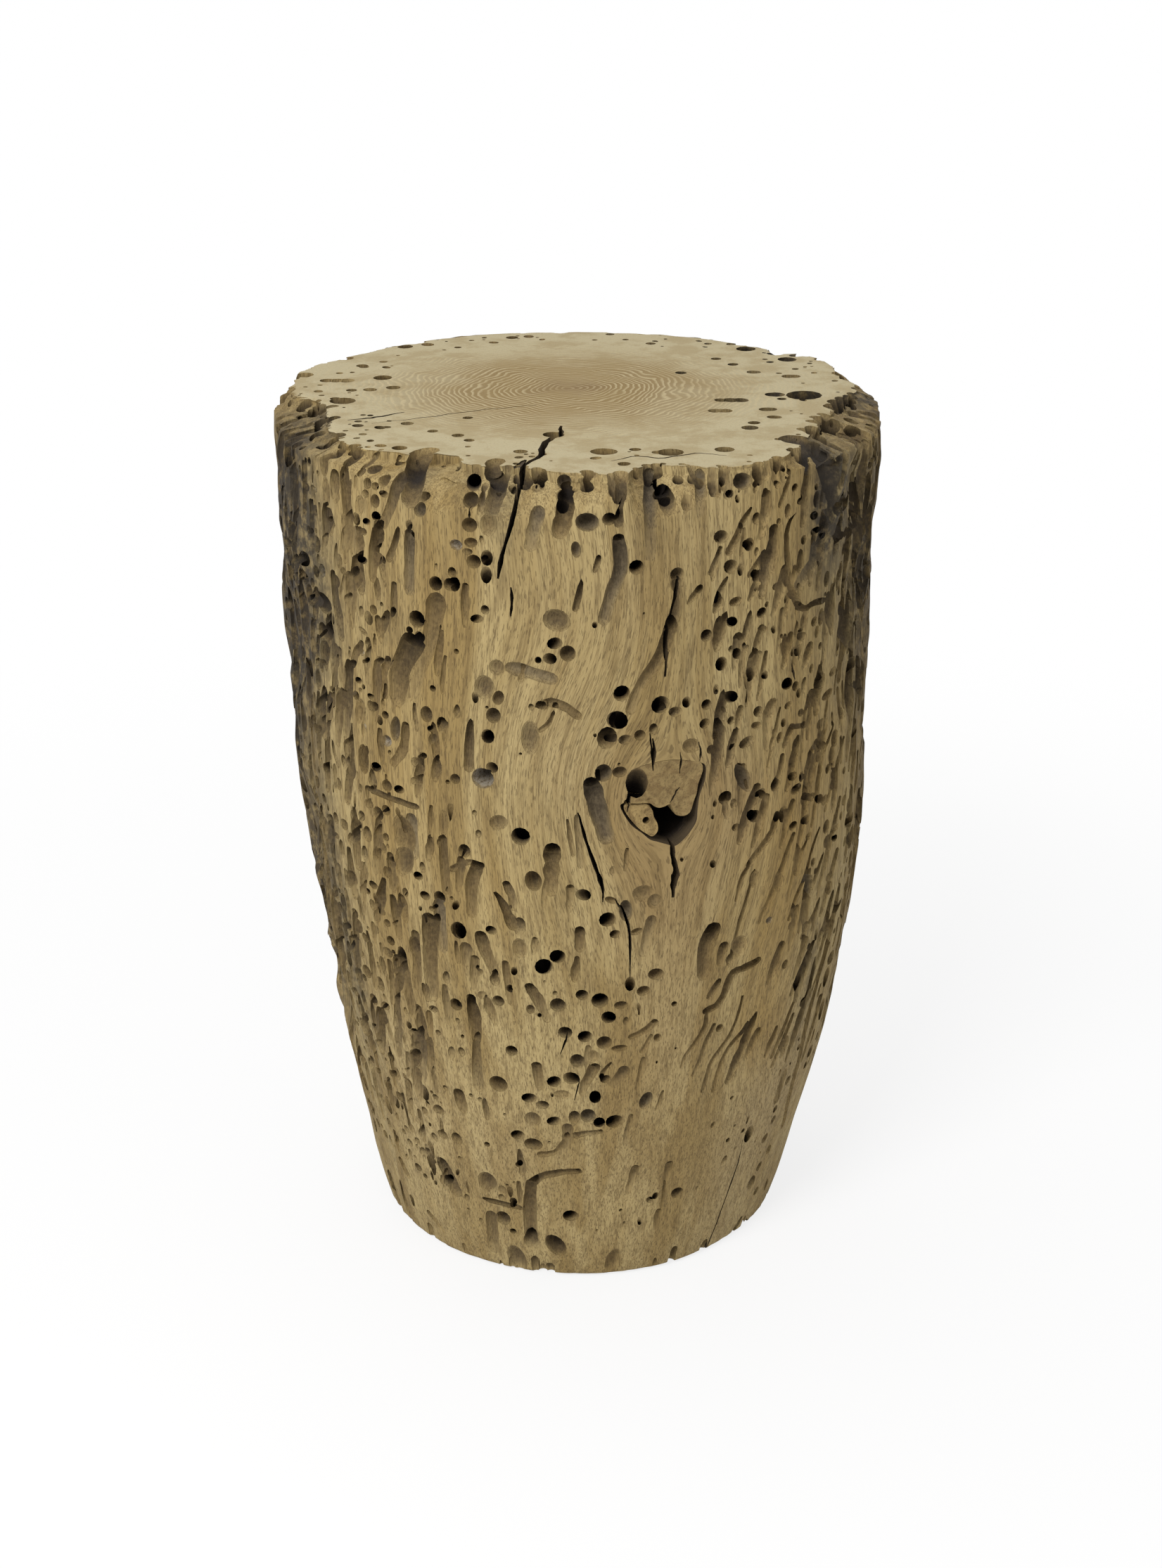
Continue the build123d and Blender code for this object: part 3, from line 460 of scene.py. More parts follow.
# %% Galleries and cracks in the front of the log
GALLERIES = (
    (24, 22, 0.1, ((697, 673), (711, 687), (705, 706), (699, 723))),
    (28, 24, 0.3, ((806, 716), (801, 738), (796, 756))),
    (10, 18, 0.4, ((963, 822), (964, 841), (961, 871), (954, 892))),
    (20, 14, 0.1, ((954, 892), (944, 923), (930, 949), (907, 980), (897, 1010))),
    (12, 6, 0.3, ((996, 836), (988, 846), (980, 857))),
    (14, 10, 0.8, ((828, 812), (824, 841), (818, 866))),
    (12, 6, 0.5, ((852, 790), (849, 803), (846, 812))),
    (14, 14, 0.5, ((668, 1024), (666, 1058), (666, 1091))),
    (14, 12, 0.1, ((769, 1005), (783, 998), (803, 1005), (821, 1018))),
    (9, 6, 0.6, ((789, 1009), (781, 1029), (768, 1039))),
    (8, 7, 0.2, ((643, 1236), (665, 1225), (685, 1231))),
    (19, 14, 0.1, ((678, 1235), (670, 1253), (670, 1299))),
    (28, 15, 0.1, ((785, 1210), (784, 1238), (784, 1268))),
    (10, 9, -0.2, ((821, 1163), (824, 1200), (826, 1233))),
    (17, 17, 0.7, ((698, 1263), (715, 1283), (722, 1300), (729, 1316))),
    (13, 10, 0.1, ((720, 1258), (728, 1273), (730, 1291))),
    (18, 14, 0.1, ((683, 1332), (691, 1357), (703, 1382))),
    (17, 12, -0.3, ((662, 1349), (662, 1370))),
    (18, 14, 0.1, ((824, 1325), (825, 1349))),
    (23, 12, 0.3, ((671, 1430), (676, 1456), (677, 1480))),
    (9, 16, 0.0, ((677, 1480), (677, 1510), (680, 1546))),
    (18, 10, 0.1, ((753, 1405), (763, 1418), (771, 1435), (778, 1451))),
    (15, 8, 0.1, ((846, 1518), (831, 1542), (828, 1556))),
    (7, 6, 0.6, ((872, 1509), (859, 1521), (854, 1531), (860, 1536))),
    (18, 14, -0.3, ((887, 1526), (872, 1542))),
    (16, 12, 0.1, ((763, 1516), (768, 1546))),
    (10, 8, 0.1, ((819, 1615), (832, 1612), (854, 1610))),
    (16, 12, -0.3, ((807, 1605), (807, 1625), (794, 1639))),
    (17, 12, 0.1, ((652, 1556), (658, 1579))),
    (20, 18, 0.2, ((628, 1655), (638, 1673), (647, 1693))),
    (11, 9, 0.5, ((690, 1706), (713, 1712), (739, 1719))),
    (17, 14, -0.3, ((698, 1729), (702, 1778))),
    (11, 14, 0.3, ((822, 1666), (795, 1668), (770, 1672), (755, 1684))),
    (15, 20, 0.1, ((755, 1684), (753, 1706), (753, 1730), (755, 1756))),
    (10, 8, 0.1, ((769, 1642), (791, 1640), (806, 1621))),
    (7, 6, 0.1, ((609, 1725), (629, 1750))),
    (9, 8, -0.3, ((580, 1540), (583, 1586), (599, 1599))),
    (8, 8, 0.1, ((569, 1651), (578, 1670))),
    (15, 12, -0.3, ((926, 1309), (915, 1357))),
    (26, 20, 0.1, ((1014, 1324), (1002, 1346), (1002, 1385))),
    (15, 10, 0.1, ((1029, 1346), (1024, 1369))),
    (10, 8, 0.3, ((1104, 1158), (1099, 1182), (1086, 1203), (1065, 1230))),
    (8, 4, 0.5, ((1065, 1230), (1053, 1253), (1047, 1280))),
    (6, 6, 0.5, ((1073, 1238), (1062, 1275), (1048, 1325), (1041, 1357), (1037, 1370))),
    (12, 11, 0.4, ((1079, 1367), (1059, 1377), (1042, 1383), (1035, 1399), (1029, 1418), (1019, 1431), (1004, 1438))),
    (9, 3, 0.4, ((1004, 1443), (1004, 1458), (991, 1480), (976, 1499), (969, 1518))),
    (10, 9, 0.3, ((1022, 1396), (1010, 1417))),
    (6, 5, 0.2, ((1016, 1458), (1001, 1488), (994, 1512), (986, 1529))),
    (5, 5, 0.4, ((1057, 1418), (1049, 1450), (1037, 1476), (1019, 1499), (1009, 1516), (1003, 1539), (999, 1552))),
    (8, 3, 0.4, ((1064, 1454), (1054, 1471), (1039, 1486), (1029, 1503), (1019, 1529), (1014, 1552))),
    (10, 8, 0.1, ((931, 1455), (915, 1468), (898, 1475))),
    (5, 5, 0.1, ((926, 1473), (913, 1496))),
    (10, 4, 0.5, ((1161, 1360), (1151, 1406), (1141, 1440), (1131, 1466))),
    (7, 6, 0.1, ((1152, 1360), (1144, 1388))),
    (7, 6, 0.2, ((1180, 1343), (1159, 1410), (1147, 1456), (1136, 1509), (1124, 1552), (1114, 1600))),
    (9, 11, 0.5, ((1070, 721), (1055, 743), (1045, 771), (1038, 784))),
    (8, 8, 0.5, ((1022, 788), (1012, 814))),
    (8, 8, 0.5, ((1035, 821), (1023, 842), (1017, 869))),
    (8, 8, 0.2, ((1089, 698), (1086, 723), (1089, 736))),
    (7, 6, 0.6, ((1124, 673), (1118, 695), (1110, 718))),
    (9, 9, 0.7, ((1138, 723), (1123, 740), (1118, 759), (1119, 789), (1121, 831), (1136, 862))),
    (8, 8, 0.6, ((1136, 862), (1146, 867), (1156, 857), (1176, 854))),
    (15, 12, 0.1, ((1100, 753), (1100, 789), (1096, 811))),
    (8, 8, 0.5, ((1088, 784), (1068, 817))),
    (10, 10, 0.6, ((1139, 781), (1138, 807))),
    (13, 11, 0.8, ((1182, 766), (1201, 763), (1219, 753), (1230, 766))),
    (10, 8, 0.5, ((1068, 870), (1060, 906))),
    (8, 8, 0.5, ((1205, 704), (1197, 726))),
    (6, 6, 0.5, ((1216, 703), (1206, 721))),
    (6, 6, 0.5, ((1126, 1034), (1148, 1032))),
    (8, 7, 0.2, ((1126, 1034), (1116, 1059))),
    (5, 4, 0.6, ((1189, 1026), (1179, 1056), (1167, 1077), (1156, 1097))),
    (7, 6, 0.2, ((1162, 1056), (1153, 1072), (1148, 1096))),
    (8, 7, 0.2, ((1112, 1076), (1109, 1100), (1100, 1116))),
    (6, 5, 0.6, ((1169, 1171), (1156, 1203), (1146, 1243), (1133, 1274), (1123, 1306))),
    (5, 5, 0.5, ((1148, 1193), (1138, 1216), (1133, 1241))),
    (6, 5, 0.5, ((1172, 1213), (1162, 1241), (1156, 1262))),
    (6, 5, 0.5, ((1166, 1277), (1159, 1299), (1141, 1332))),
    (9, 7, 0.5, ((1186, 1266), (1179, 1292), (1172, 1319))),
    (7, 6, 0.5, ((1199, 1279), (1182, 1309), (1172, 1337))),
    (15, 11, -0.3, ((1098, 1002), (1091, 1021), (1092, 1062))),
    (5, 4, 0.5, ((1033, 1014), (1020, 1040))),
    (12, 12, 0.1, ((475, 676), (475, 706))),
    (27, 22, 0.0, ((593, 652), (590, 680), (586, 706))),
    (13, 11, 0.1, ((564, 688), (556, 720), (544, 746))),
    (10, 8, 0.6, ((566, 746), (561, 773), (553, 794))),
    (8, 7, 0.2, ((513, 916), (504, 930), (501, 945))),
    (14, 10, 0.5, ((552, 870), (542, 896))),
    (10, 9, 0.2, ((551, 938), (544, 958), (546, 989))),
    (30, 24, 0.0, ((584, 916), (567, 953), (564, 993))),
    (25, 18, -0.4, ((620, 858), (612, 908), (596, 950), (584, 991))),
    (13, 11, 0.2, ((576, 1032), (574, 1066), (559, 1085))),
    (10, 8, 0.5, ((521, 1122), (539, 1128), (561, 1138), (591, 1148))),
    (13, 12, 0.1, ((629, 1193), (634, 1266))),
    (22, 18, 0.0, ((610, 1309), (611, 1360), (614, 1416))),
    (15, 12, 0.1, ((571, 1357), (578, 1400), (588, 1443))),
    (15, 12, 0.1, ((540, 1440), (540, 1479), (540, 1493))),
    (10, 9, 0.1, ((563, 1425), (565, 1450), (566, 1499))),
    (5, 5, 0.5, ((505, 1494), (511, 1536))),
    (6, 6, 0.2, ((526, 1516), (534, 1557), (543, 1589))),
)
GREY_GALLERIES = (
    (20, 17, -0.2, ((765, 730), (758, 755), (753, 778))),
    (21, 18, 0.15, ((880, 767), (884, 805), (878, 825), (871, 841), (859, 881))),
    (21, 15, -0.4, ((923, 675), (925, 730), (925, 793))),
    (14, 12, -0.4, ((994, 675), (996, 730))),
    (20, 17, -0.3, ((727, 950), (755, 957), (784, 966))),
    (27, 24, 0.15, ((841, 1116), (850, 1150), (862, 1190))),
    (30, 17, 0.0, ((1169, 650), (1186, 682), (1189, 710), (1186, 733))),
    (15, 14, -0.3, ((1172, 759), (1159, 799), (1136, 832))),
    (15, 13, 0.1, ((582, 759), (581, 806), (581, 839))),
    (17, 15, -0.2, ((584, 1166), (587, 1216))),
    (17, 15, -0.2, ((624, 1289), (629, 1349))),
)
# Drying cracks: width at the surface in pixels, depth in millimetres, and the places along them
CRACKS = (
    (7, 24, ((731, 665), (742, 661), (737, 699), (727, 746), (713, 791), (708, 822))),
    (4, 12, ((888, 711), (876, 739))),
    (4, 12, ((726, 836), (728, 850), (726, 876))),
    (4, 10, ((928, 1051), (931, 1070), (929, 1089))),
    (3, 8, ((994, 1056), (997, 1070), (995, 1082))),
    (5, 20, ((822, 1158), (834, 1200), (851, 1245), (858, 1266), (857, 1283))),
    (4, 16, ((876, 1283), (888, 1300), (896, 1324), (896, 1392))),
    (3, 8, ((807, 1473), (797, 1499))),
    (3, 8, ((824, 1536), (817, 1564))),
    (2, 20, ((1057, 1623), (1051, 1655), (1036, 1694), (1019, 1741), (1004, 1777))),
    (3, 10, ((1129, 940), (1128, 955), (1131, 966))),
    (6, 18, ((967, 824), (963, 850), (950, 905), (946, 960))),
    (3, 8, ((667, 722), (667, 738))),
    (9, 14, ((955, 1196), (957, 1221), (962, 1238), (957, 1259), (957, 1276))),
    (3, 10, ((895, 1124), (896, 1138), (892, 1155))), (4, 8, ((924, 1044), (927, 1070), (929, 1096))),
    (3, 6, ((967, 1070), (969, 1084), (967, 1100))), (3, 8, ((954, 1142), (961, 1130), (967, 1121))),
)
print(len(GALLERIES) + len(GREY_GALLERIES), "galleries and", len(CRACKS), "cracks")

# %% Pits and cracks in the seat
SEAT_PITS = (
    (515, 520, 20, 5), (544, 537, 28, 8), (559, 551, 24, 6), (526, 554, 18, 5), (487, 570, 35, 12), (479, 541, 50, 5),
    (576, 493, 20, 5), (608, 490, 18, 5), (651, 494, 10, 4), (728, 480, 20, 4), (579, 602, 20, 5),
    (615, 613, 18, 5), (651, 619, 20, 5), (667, 626, 18, 5), (568, 637, 22, 6), (665, 594, 14, 4),
    (787, 618, 30, 10), (740, 642, 24, 8), (858, 642, 42, 9), (834, 671, 20, 10), (903, 639, 20, 8),
    (953, 643, 40, 10), (1030, 639, 30, 8), (1039, 569, 50, 5), (1024, 584, 35, 5), (1092, 582, 26, 5),
    (1101, 593, 24, 5), (1072, 601, 20, 5), (1066, 608, 26, 6), (1101, 561, 28, 6), (1143, 562, 50, 20),
    (968, 530, 20, 4), (1018, 510, 14, 4), (1042, 518, 16, 4), (1072, 529, 20, 4), (1125, 535, 28, 5),
    (1119, 511, 25, 8), (1173, 512, 18, 4),
)
SEAT_CRACKS = (
    (10, 16, ((799, 606), (797, 616), (775, 630), (769, 648), (731, 670))),
    (7, 8, ((496, 597), (530, 594), (574, 586))), (3, 6, ((532, 601), (600, 594), (692, 582), (760, 576))),
    (5, 5, ((870, 655), (905, 648), (940, 652), (990, 644), (1030, 647))),
)
print(len(SEAT_PITS), "pits in the seat")

# %% [markdown]
# ## From map to mesh
#
# The skin is one grid that starts at the middle of the base, climbs the side, rolls over the rim and
# ends at the middle of the seat. Every row is a ring, so the mesh is closed, which the booleans need.

# %% Mesh helpers
def mesh_object(name, corners, triangles):
    """New object from places in millimetres and rows of three corners."""
    mesh = bpy.data.meshes.new(name)
    mesh.vertices.add(len(corners))
    mesh.vertices.foreach_set("co", (np.asarray(corners) * MM).astype(np.float32).ravel())
    mesh.loops.add(3 * len(triangles))
    mesh.loops.foreach_set("vertex_index", np.asarray(triangles, np.int32).ravel())
    mesh.polygons.add(len(triangles))
    mesh.polygons.foreach_set("loop_start", np.arange(0, 3 * len(triangles), 3, dtype=np.int32))
    mesh.update(calc_edges=True)
    made = bpy.data.objects.new(name, mesh)
    bpy.context.collection.objects.link(made)
    return made


def ring_triangles(rings, sides):
    """Triangles of a closed tube of rings, with a pole corner after the last ring at each end."""
    row = np.arange(rings - 1)[:, None] * sides
    column = np.arange(sides)[None, :]
    after = (column + 1) % sides
    a, b = (row + column).ravel(), (row + after).ravel()
    c, d = a + sides, b + sides
    walls = np.concatenate([np.column_stack([a, b, d]), np.column_stack([a, d, c])])
    first = np.arange(sides)
    second = (first + 1) % sides
    last = (rings - 1) * sides
    start, end = rings * sides, rings * sides + 1
    low = np.column_stack([np.full(sides, start), second, first])
    high = np.column_stack([np.full(sides, end), last + first, last + second])
    return np.concatenate([walls, low, high])


def closed(rings):
    """Corners and triangles of a closed shape from its rings, with a corner in the middle of each end."""
    return np.vstack([*rings, rings[0].mean(0), rings[-1].mean(0)]), ring_triangles(len(rings), len(rings[0]))


def values_of(items, field, width=1, kind=np.float32):
    """Values of a field of a mesh, one row for each item where there is more than one value."""
    values = np.empty(width * len(items), kind)
    items.foreach_get(field, values)
    return values.reshape(-1, width) if width > 1 else values


def lined_object(name, corners, triangles):
    """Mesh object whose faces carry a lining, which is zero on the outside."""
    made = mesh_object(name, corners, triangles)
    made.data.attributes.new("lining", "FLOAT", "FACE")
    return made


# %% The barrel with its worn skin
COLUMNS, SIDE_ROWS, SHOULDER_ROWS, SEAT_ROWS, BASE_ROWS = 480, 216, 16, 52, 14
EDGE_ROUND = 1.0
POLE_HOLE = 4
# The side's relief runs on over the ends and fades out this far in from the rim
END_FADE = 70
turns = np.arange(COLUMNS) * math.tau / COLUMNS

low_radius, top_radius = float(radius_at(BASE)), float(radius_at(SEAT))
curl = np.radians([20, 45, 70])
side_z = np.concatenate([
    np.linspace(BASE + EDGE_ROUND, SEAT - 9.5, SIDE_ROWS),
    np.linspace(SEAT - 9, SEAT - EDGE_ROUND, SHOULDER_ROWS),
])
row_radius = np.concatenate([
    np.linspace(POLE_HOLE, low_radius - EDGE_ROUND, BASE_ROWS),
    low_radius - EDGE_ROUND * (1 - np.sin(curl)),
    radius_at(side_z),
    top_radius - EDGE_ROUND * (1 - np.cos(curl)),
    np.linspace(top_radius - EDGE_ROUND, POLE_HOLE, SEAT_ROWS),
])
row_z = np.concatenate([
    np.full(BASE_ROWS, BASE),
    BASE + EDGE_ROUND * (1 - np.cos(curl)),
    side_z,
    SEAT - EDGE_ROUND * (1 - np.sin(curl)),
    np.full(SEAT_ROWS, SEAT),
])
ring_turn, ring_z = np.meshgrid(turns, row_z)
ring_radius = np.broadcast_to(row_radius[:, None], ring_turn.shape)
on_ends = (ring_z >= SEAT - 1e-6) | (ring_z <= BASE + 1e-6)
inside = np.where(ring_z > SEAT / 2, top_radius, low_radius) - ring_radius
fade = np.where(on_ends, np.clip(1 - inside / END_FADE, 0, 1), 1)
skin_radius = ring_radius - fade * side_relief(ring_turn, ring_z)
skin_z = ring_z - np.where(ring_z > SEAT - EDGE_ROUND, seat_relief(ring_turn, skin_radius), 0)
skin = np.column_stack([
    (middle_at(ring_z) + skin_radius * np.sin(ring_turn)).ravel(),
    (-skin_radius * np.cos(ring_turn)).ravel(),
    skin_z.ravel(),
])
poles = [(float(middle_at(BASE)), 0, BASE), (float(middle_at(SEAT)), 0, float(skin_z[-1].mean()))]
log = lined_object("bored_log", np.vstack([skin, poles]), ring_triangles(len(row_z), COLUMNS))
print("skin grid", len(row_z), "rings of", COLUMNS)

# %% [markdown]
# ## Tunnels as tools
#
# A shipworm tunnel is a round tube that goes in across the grain, then turns along it. Each hole gets
# its own closed tube, which a boolean takes out of the log. The shape of a hole in the picture tells
# how the tube lies: a round mouth means straight in, and a long mouth means that it slants. A pit is
# the print of an egg, and a crack is a row of small cells, because one long bent wedge folds through itself.

# %% Tubes, eggs and cracks
def tube(path, radii, sides=12):
    """Closed tube with rounded ends round a path: its corners and its triangles."""
    path, radii = np.asarray(path, float), np.asarray(radii, float)
    along = np.gradient(path, axis=0)
    along /= np.linalg.norm(along, axis=1)[:, None]
    turn_in = np.radians([78, 45])
    head = [path[0] - along[0] * radii[0] * math.sin(a) for a in turn_in]
    tail = [path[-1] + along[-1] * radii[-1] * math.sin(a) for a in turn_in[::-1]]
    centres = np.vstack([head, path, tail])
    widths = np.concatenate([radii[0] * np.cos(turn_in), radii, radii[-1] * np.cos(turn_in[::-1])])
    along = np.vstack([along[:1], along[:1], along, along[-1:], along[-1:]])
    helper = np.array([0.0, 0.0, 1.0]) if abs(along[0, 2]) < 0.9 else np.array([1.0, 0.0, 0.0])
    across = np.cross(along[0], helper)
    angles = np.arange(sides) * math.tau / sides
    rings = []
    for centre, direction, width in zip(centres, along, widths):
        across = across - direction * across.dot(direction)
        across /= np.linalg.norm(across)
        up = np.cross(direction, across)
        rings.append(centre + width * (np.cos(angles)[:, None] * across + np.sin(angles)[:, None] * up))
    ends = [path[0] - along[0] * radii[0], path[-1] + along[-1] * radii[-1]]
    return np.vstack(rings + [ends]), ring_triangles(len(centres), sides)


def egg(centre, half_axes, directions, sides=14):
    """Closed egg with three half axes along three directions."""
    bands = np.radians(np.linspace(-75, 75, 7))
    angles = np.arange(sides) * math.tau / sides
    rings = []
    for band in bands:
        x, y = math.cos(band) * np.cos(angles), math.cos(band) * np.sin(angles)
        rings.append(np.column_stack([x, y, np.full(sides, math.sin(band))]))
    unit = np.concatenate(rings + [np.array([(0, 0, -1), (0, 0, 1)])])
    axes = np.asarray(directions) * np.asarray(half_axes)[:, None]
    return centre + unit @ axes, ring_triangles(len(bands), sides)


# How far the middle of a pit's or a scoop's egg stands out of the skin, as a share of its half depth, and
# that half depth as a share of the mouth's narrow width
HOLLOW_KINDS = {"pit": (0.15, 0.95), "scoop": (0.45, 0.62)}


def hollow_axes(kind, wide, high, narrow):
    """Sink, depth share and half axes of the egg that leaves a pit or a scoop with this mouth."""
    sink, share = HOLLOW_KINDS[kind]
    open_share = math.sqrt(1 - sink * sink)
    return sink, share, (wide / 2 / open_share, high / 2 / open_share, narrow * share)


# A crack's section: how far it stands out of the skin, its mouth's corners as shares of its half width,
# and its inner corners as shares of its half width and of its depth
CRACK_OUT, CRACK_MOUTH = 4.0, (-1.3, 1.3)
CRACK_INNER = ((0.6, 0.5), (0.0, 1.0), (-0.6, 0.5))
# How far each cell reaches past its ends, as a share of its length
CRACK_OVERLAP = 0.15


def crack_cells(points, outs, half_widths, depths):
    """A crack as closed cells, one for each step: open at the surface and closing with depth."""
    cells = []
    for first in range(len(points) - 1):
        step = points[first + 1] - points[first]
        out = outs[first] + outs[first + 1]
        side = np.cross(step, out)
        side /= np.linalg.norm(side)
        out /= np.linalg.norm(out)
        rings = []
        for number, past in ((first, -CRACK_OVERLAP), (first + 1, CRACK_OVERLAP)):
            point, half, deep = points[number] + past * step, half_widths[number] * side, depths[number] * out
            mouth = [point + out * CRACK_OUT + half * across for across in CRACK_MOUTH]
            inner = [point - deep * down + half * across for across, down in CRACK_INNER]
            rings.append(np.array(mouth + inner))
        cells.append(closed(rings))
    return cells


# %% The log's own directions at a place, and the picture's scale there
UP = np.array([0.0, 0.0, 1.0])


def place_frame(turn, z):
    """Point on the worn skin, with its outward, sideways and upward directions."""
    out = outward(turn)
    slope = (float(radius_at(z + 2)) - float(radius_at(z - 2))) / 4
    upward = UP + slope * out
    upward /= np.linalg.norm(upward)
    sideways = np.cross(UP, out)
    worn = float(side_relief(np.array(turn), np.array(z)))
    return side_point(turn, z, worn), np.cross(sideways, upward), sideways, upward


def points_and_outs(frames):
    """Points of some places on the skin, and their outward directions."""
    return np.array([frame[0] for frame in frames]), np.array([frame[1] for frame in frames])


# The side turns away near the outline, where fewer pixels than this for a millimetre tell nothing
LEAST_PIXELS = 0.9


def true_size(place, width, height):
    """Real width and height of something on the log from its pixels in the picture."""
    point, _, sideways, upward = place
    here, beside, above = to_picture([point, point + sideways, point + upward])
    across, up = np.hypot(*(beside - here)), np.hypot(*(above - here))
    return width / max(across, LEAST_PIXELS), height / max(up, LEAST_PIXELS)


# How many steps a tunnel has, and how far it has turned along the grain at its end
BEND_STEPS, BEND_SHARE = 7, 0.75


def bend_in(point, direction, depth, radius, rng):
    """Path of a deep tunnel: in from outside the mouth, then turning along the grain."""
    grain = UP * (1 if rng.random() < 0.5 else -1)
    path = [point - direction * (radius * 1.6 + 2)]
    for step in np.linspace(0, 1, BEND_STEPS):
        heading = direction * (1 - BEND_SHARE * step) + grain * BEND_SHARE * step
        path.append(path[-1] + heading / np.linalg.norm(heading) * depth / (BEND_STEPS - 1))
    return np.array(path)


# %% Tools for the front, from the tables
# Linings are told apart by whole numbers, and the rest of each value is the tunnel's own tone
BROWN, GREY, WHITE, CRACK, SAWN = 1, 2, 3, 4, 5
# The blurred edge of a hole in the picture is about a pixel on each side
EDGE_PIXELS = 2
rng = np.random.default_rng(4)
tools = []
taken = []


def add_tool(shape, lining=BROWN):
    """Keep a closed shape for cutting, with its lining."""
    tools.append((*shape, lining + 0.9 * rng.random()))


def add_crack(cells):
    """Keep the cells of one crack, all with one tone."""
    tone = CRACK + 0.9 * rng.random()
    tools.extend((*cell, tone) for cell in cells)


# The longest and the roundest mouth that a slanting tunnel is read from, the steepest slant, how deep the
# tunnels go in millimetres, and how uneven they are
LONGEST_MOUTH, ROUNDEST_MOUTH, STEEPEST = 2.2, 0.95, math.radians(55)
TUNNEL_DEPTHS, UNEVEN = (24, 40), 0.07


def hole_tools(table, kind, lining=BROWN):
    """Add a tool for each hole in a table: a tunnel, a pit or a scoop."""
    turns_here, heights = on_side([row[:2] for row in table])
    for (x, y, width, height), turn, z in zip(table, turns_here, heights):
        place = place_frame(float(turn), float(z))
        point, out, sideways, upward = place
        wide, high = true_size(place, width + EDGE_PIXELS, height + EDGE_PIXELS)
        wide = min(wide, high * LONGEST_MOUTH)
        narrow = min(wide, high)
        taken.append((np.array([turn * GIRTH, z]), max(wide, high) / 2))
        if kind == "deep":
            slant = min(math.acos(min(ROUNDEST_MOUTH, narrow / max(wide, high))), STEEPEST)
            lean = (upward if high > wide else sideways) * (1 if (x + y) % 2 else -1)
            direction = -out * math.cos(slant) + lean * math.sin(slant)
            path = bend_in(point, direction, rng.uniform(*TUNNEL_DEPTHS), narrow / 2, rng)
            radii = narrow / 2 * (1 + UNEVEN * rng.normal(size=len(path)))
            add_tool(tube(path, radii), lining)
        else:
            tilt = 0.2 * rng.normal()
            upright = upward * math.cos(tilt) + sideways * math.sin(tilt)
            sink, _, half = hollow_axes(kind, wide, high, narrow)
            add_tool(egg(point + out * half[2] * sink, half, (np.cross(upright, out), upright, out)), lining)


# %% Tools for the galleries
def path_on_side(places):
    """Places on the worn side along picture places, with two more between each two."""
    places = np.asarray(places, float)
    at = np.linspace(0, len(places) - 1, (len(places) - 1) * 3 + 1)
    fine = np.column_stack([np.interp(at, np.arange(len(places)), places[:, k]) for k in (0, 1)])
    fine[1:-1] = (fine[:-2] + 2 * fine[1:-1] + fine[2:]) / 4
    return [place_frame(float(turn), float(z)) for turn, z in zip(*on_side(fine))]


# The widest gallery's radius in millimetres. One that stands upright sinks deeper at its top than at its
# foot, and dives into the timber there, by shares of its radius
WIDEST_GALLERY = 7.5
TOP_SINK, FADE, LEVEL_SINK = 0.35, 0.8, 0.1
DIVE_IN, DIVE_UP = 1.6, 0.9


def gallery_tools(table, lining=BROWN):
    """Add a tube that runs along the surface for each gallery in a table, fading out at its lower end."""
    for start_width, end_width, sunk, places in table:
        if places[-1][1] < places[0][1]:
            start_width, end_width, places = end_width, start_width, places[::-1]
        upright = places[-1][1] - places[0][1] > abs(places[-1][0] - places[0][0])
        frames = path_on_side(places)
        points, outs = points_and_outs(frames)
        scale, _ = true_size(frames[len(frames) // 2], 1, 1)
        widths = np.linspace(start_width, end_width, len(points)) + EDGE_PIXELS
        radii = np.minimum(widths * scale / 2, WIDEST_GALLERY) * (1 + 0.06 * rng.normal(size=len(points)))
        share = np.linspace(0, 1, len(points))
        depth = sunk + (TOP_SINK - FADE * share if upright else LEVEL_SINK)
        radii = radii / np.sqrt(1 - np.minimum(depth, 0) ** 2)
        path = points - outs * (radii * depth)[:, None]
        if sunk >= 0:
            dive = path[0] - outs[0] * radii[0] * DIVE_IN + UP * radii[0] * DIVE_UP
            path = np.vstack([dive, path])
            radii = np.concatenate([radii[:1] * 0.95, radii])
        taken.extend((np.array([math.atan2(p[0], -p[1]) * GIRTH, p[2]]), radii[-1]) for p in points[::2])
        add_tool(tube(path, radii), lining)


hole_tools(DEEP_HOLES, "deep")
hole_tools(PITS, "pit")
hole_tools(SCOOPS, "scoop")
hole_tools(GREY_PITS, "pit", GREY)
hole_tools(WHITE_PITS, "pit", WHITE)
gallery_tools(GALLERIES)
gallery_tools(GREY_GALLERIES, GREY)
print("tools for the front:", len(tools))

# %% Cracks in the side
for width, depth, places in CRACKS:
    frames = path_on_side(places)
    points, outs = points_and_outs(frames)
    scale, _ = true_size(frames[0], 1, 1)
    share = np.linspace(0, 1, len(points))
    thin = 0.25 + 0.75 * np.sin(math.pi * np.clip(share * 0.92 + 0.04, 0, 1)) ** 0.6
    wander = 1 + 0.25 * rng.normal(size=len(points))
    half = np.maximum(width * scale / 2 * thin * np.clip(wander, 0.5, 1.6), 0.12)
    add_crack(crack_cells(points, outs, half, depth * thin))
print("cracks:", len(CRACKS))

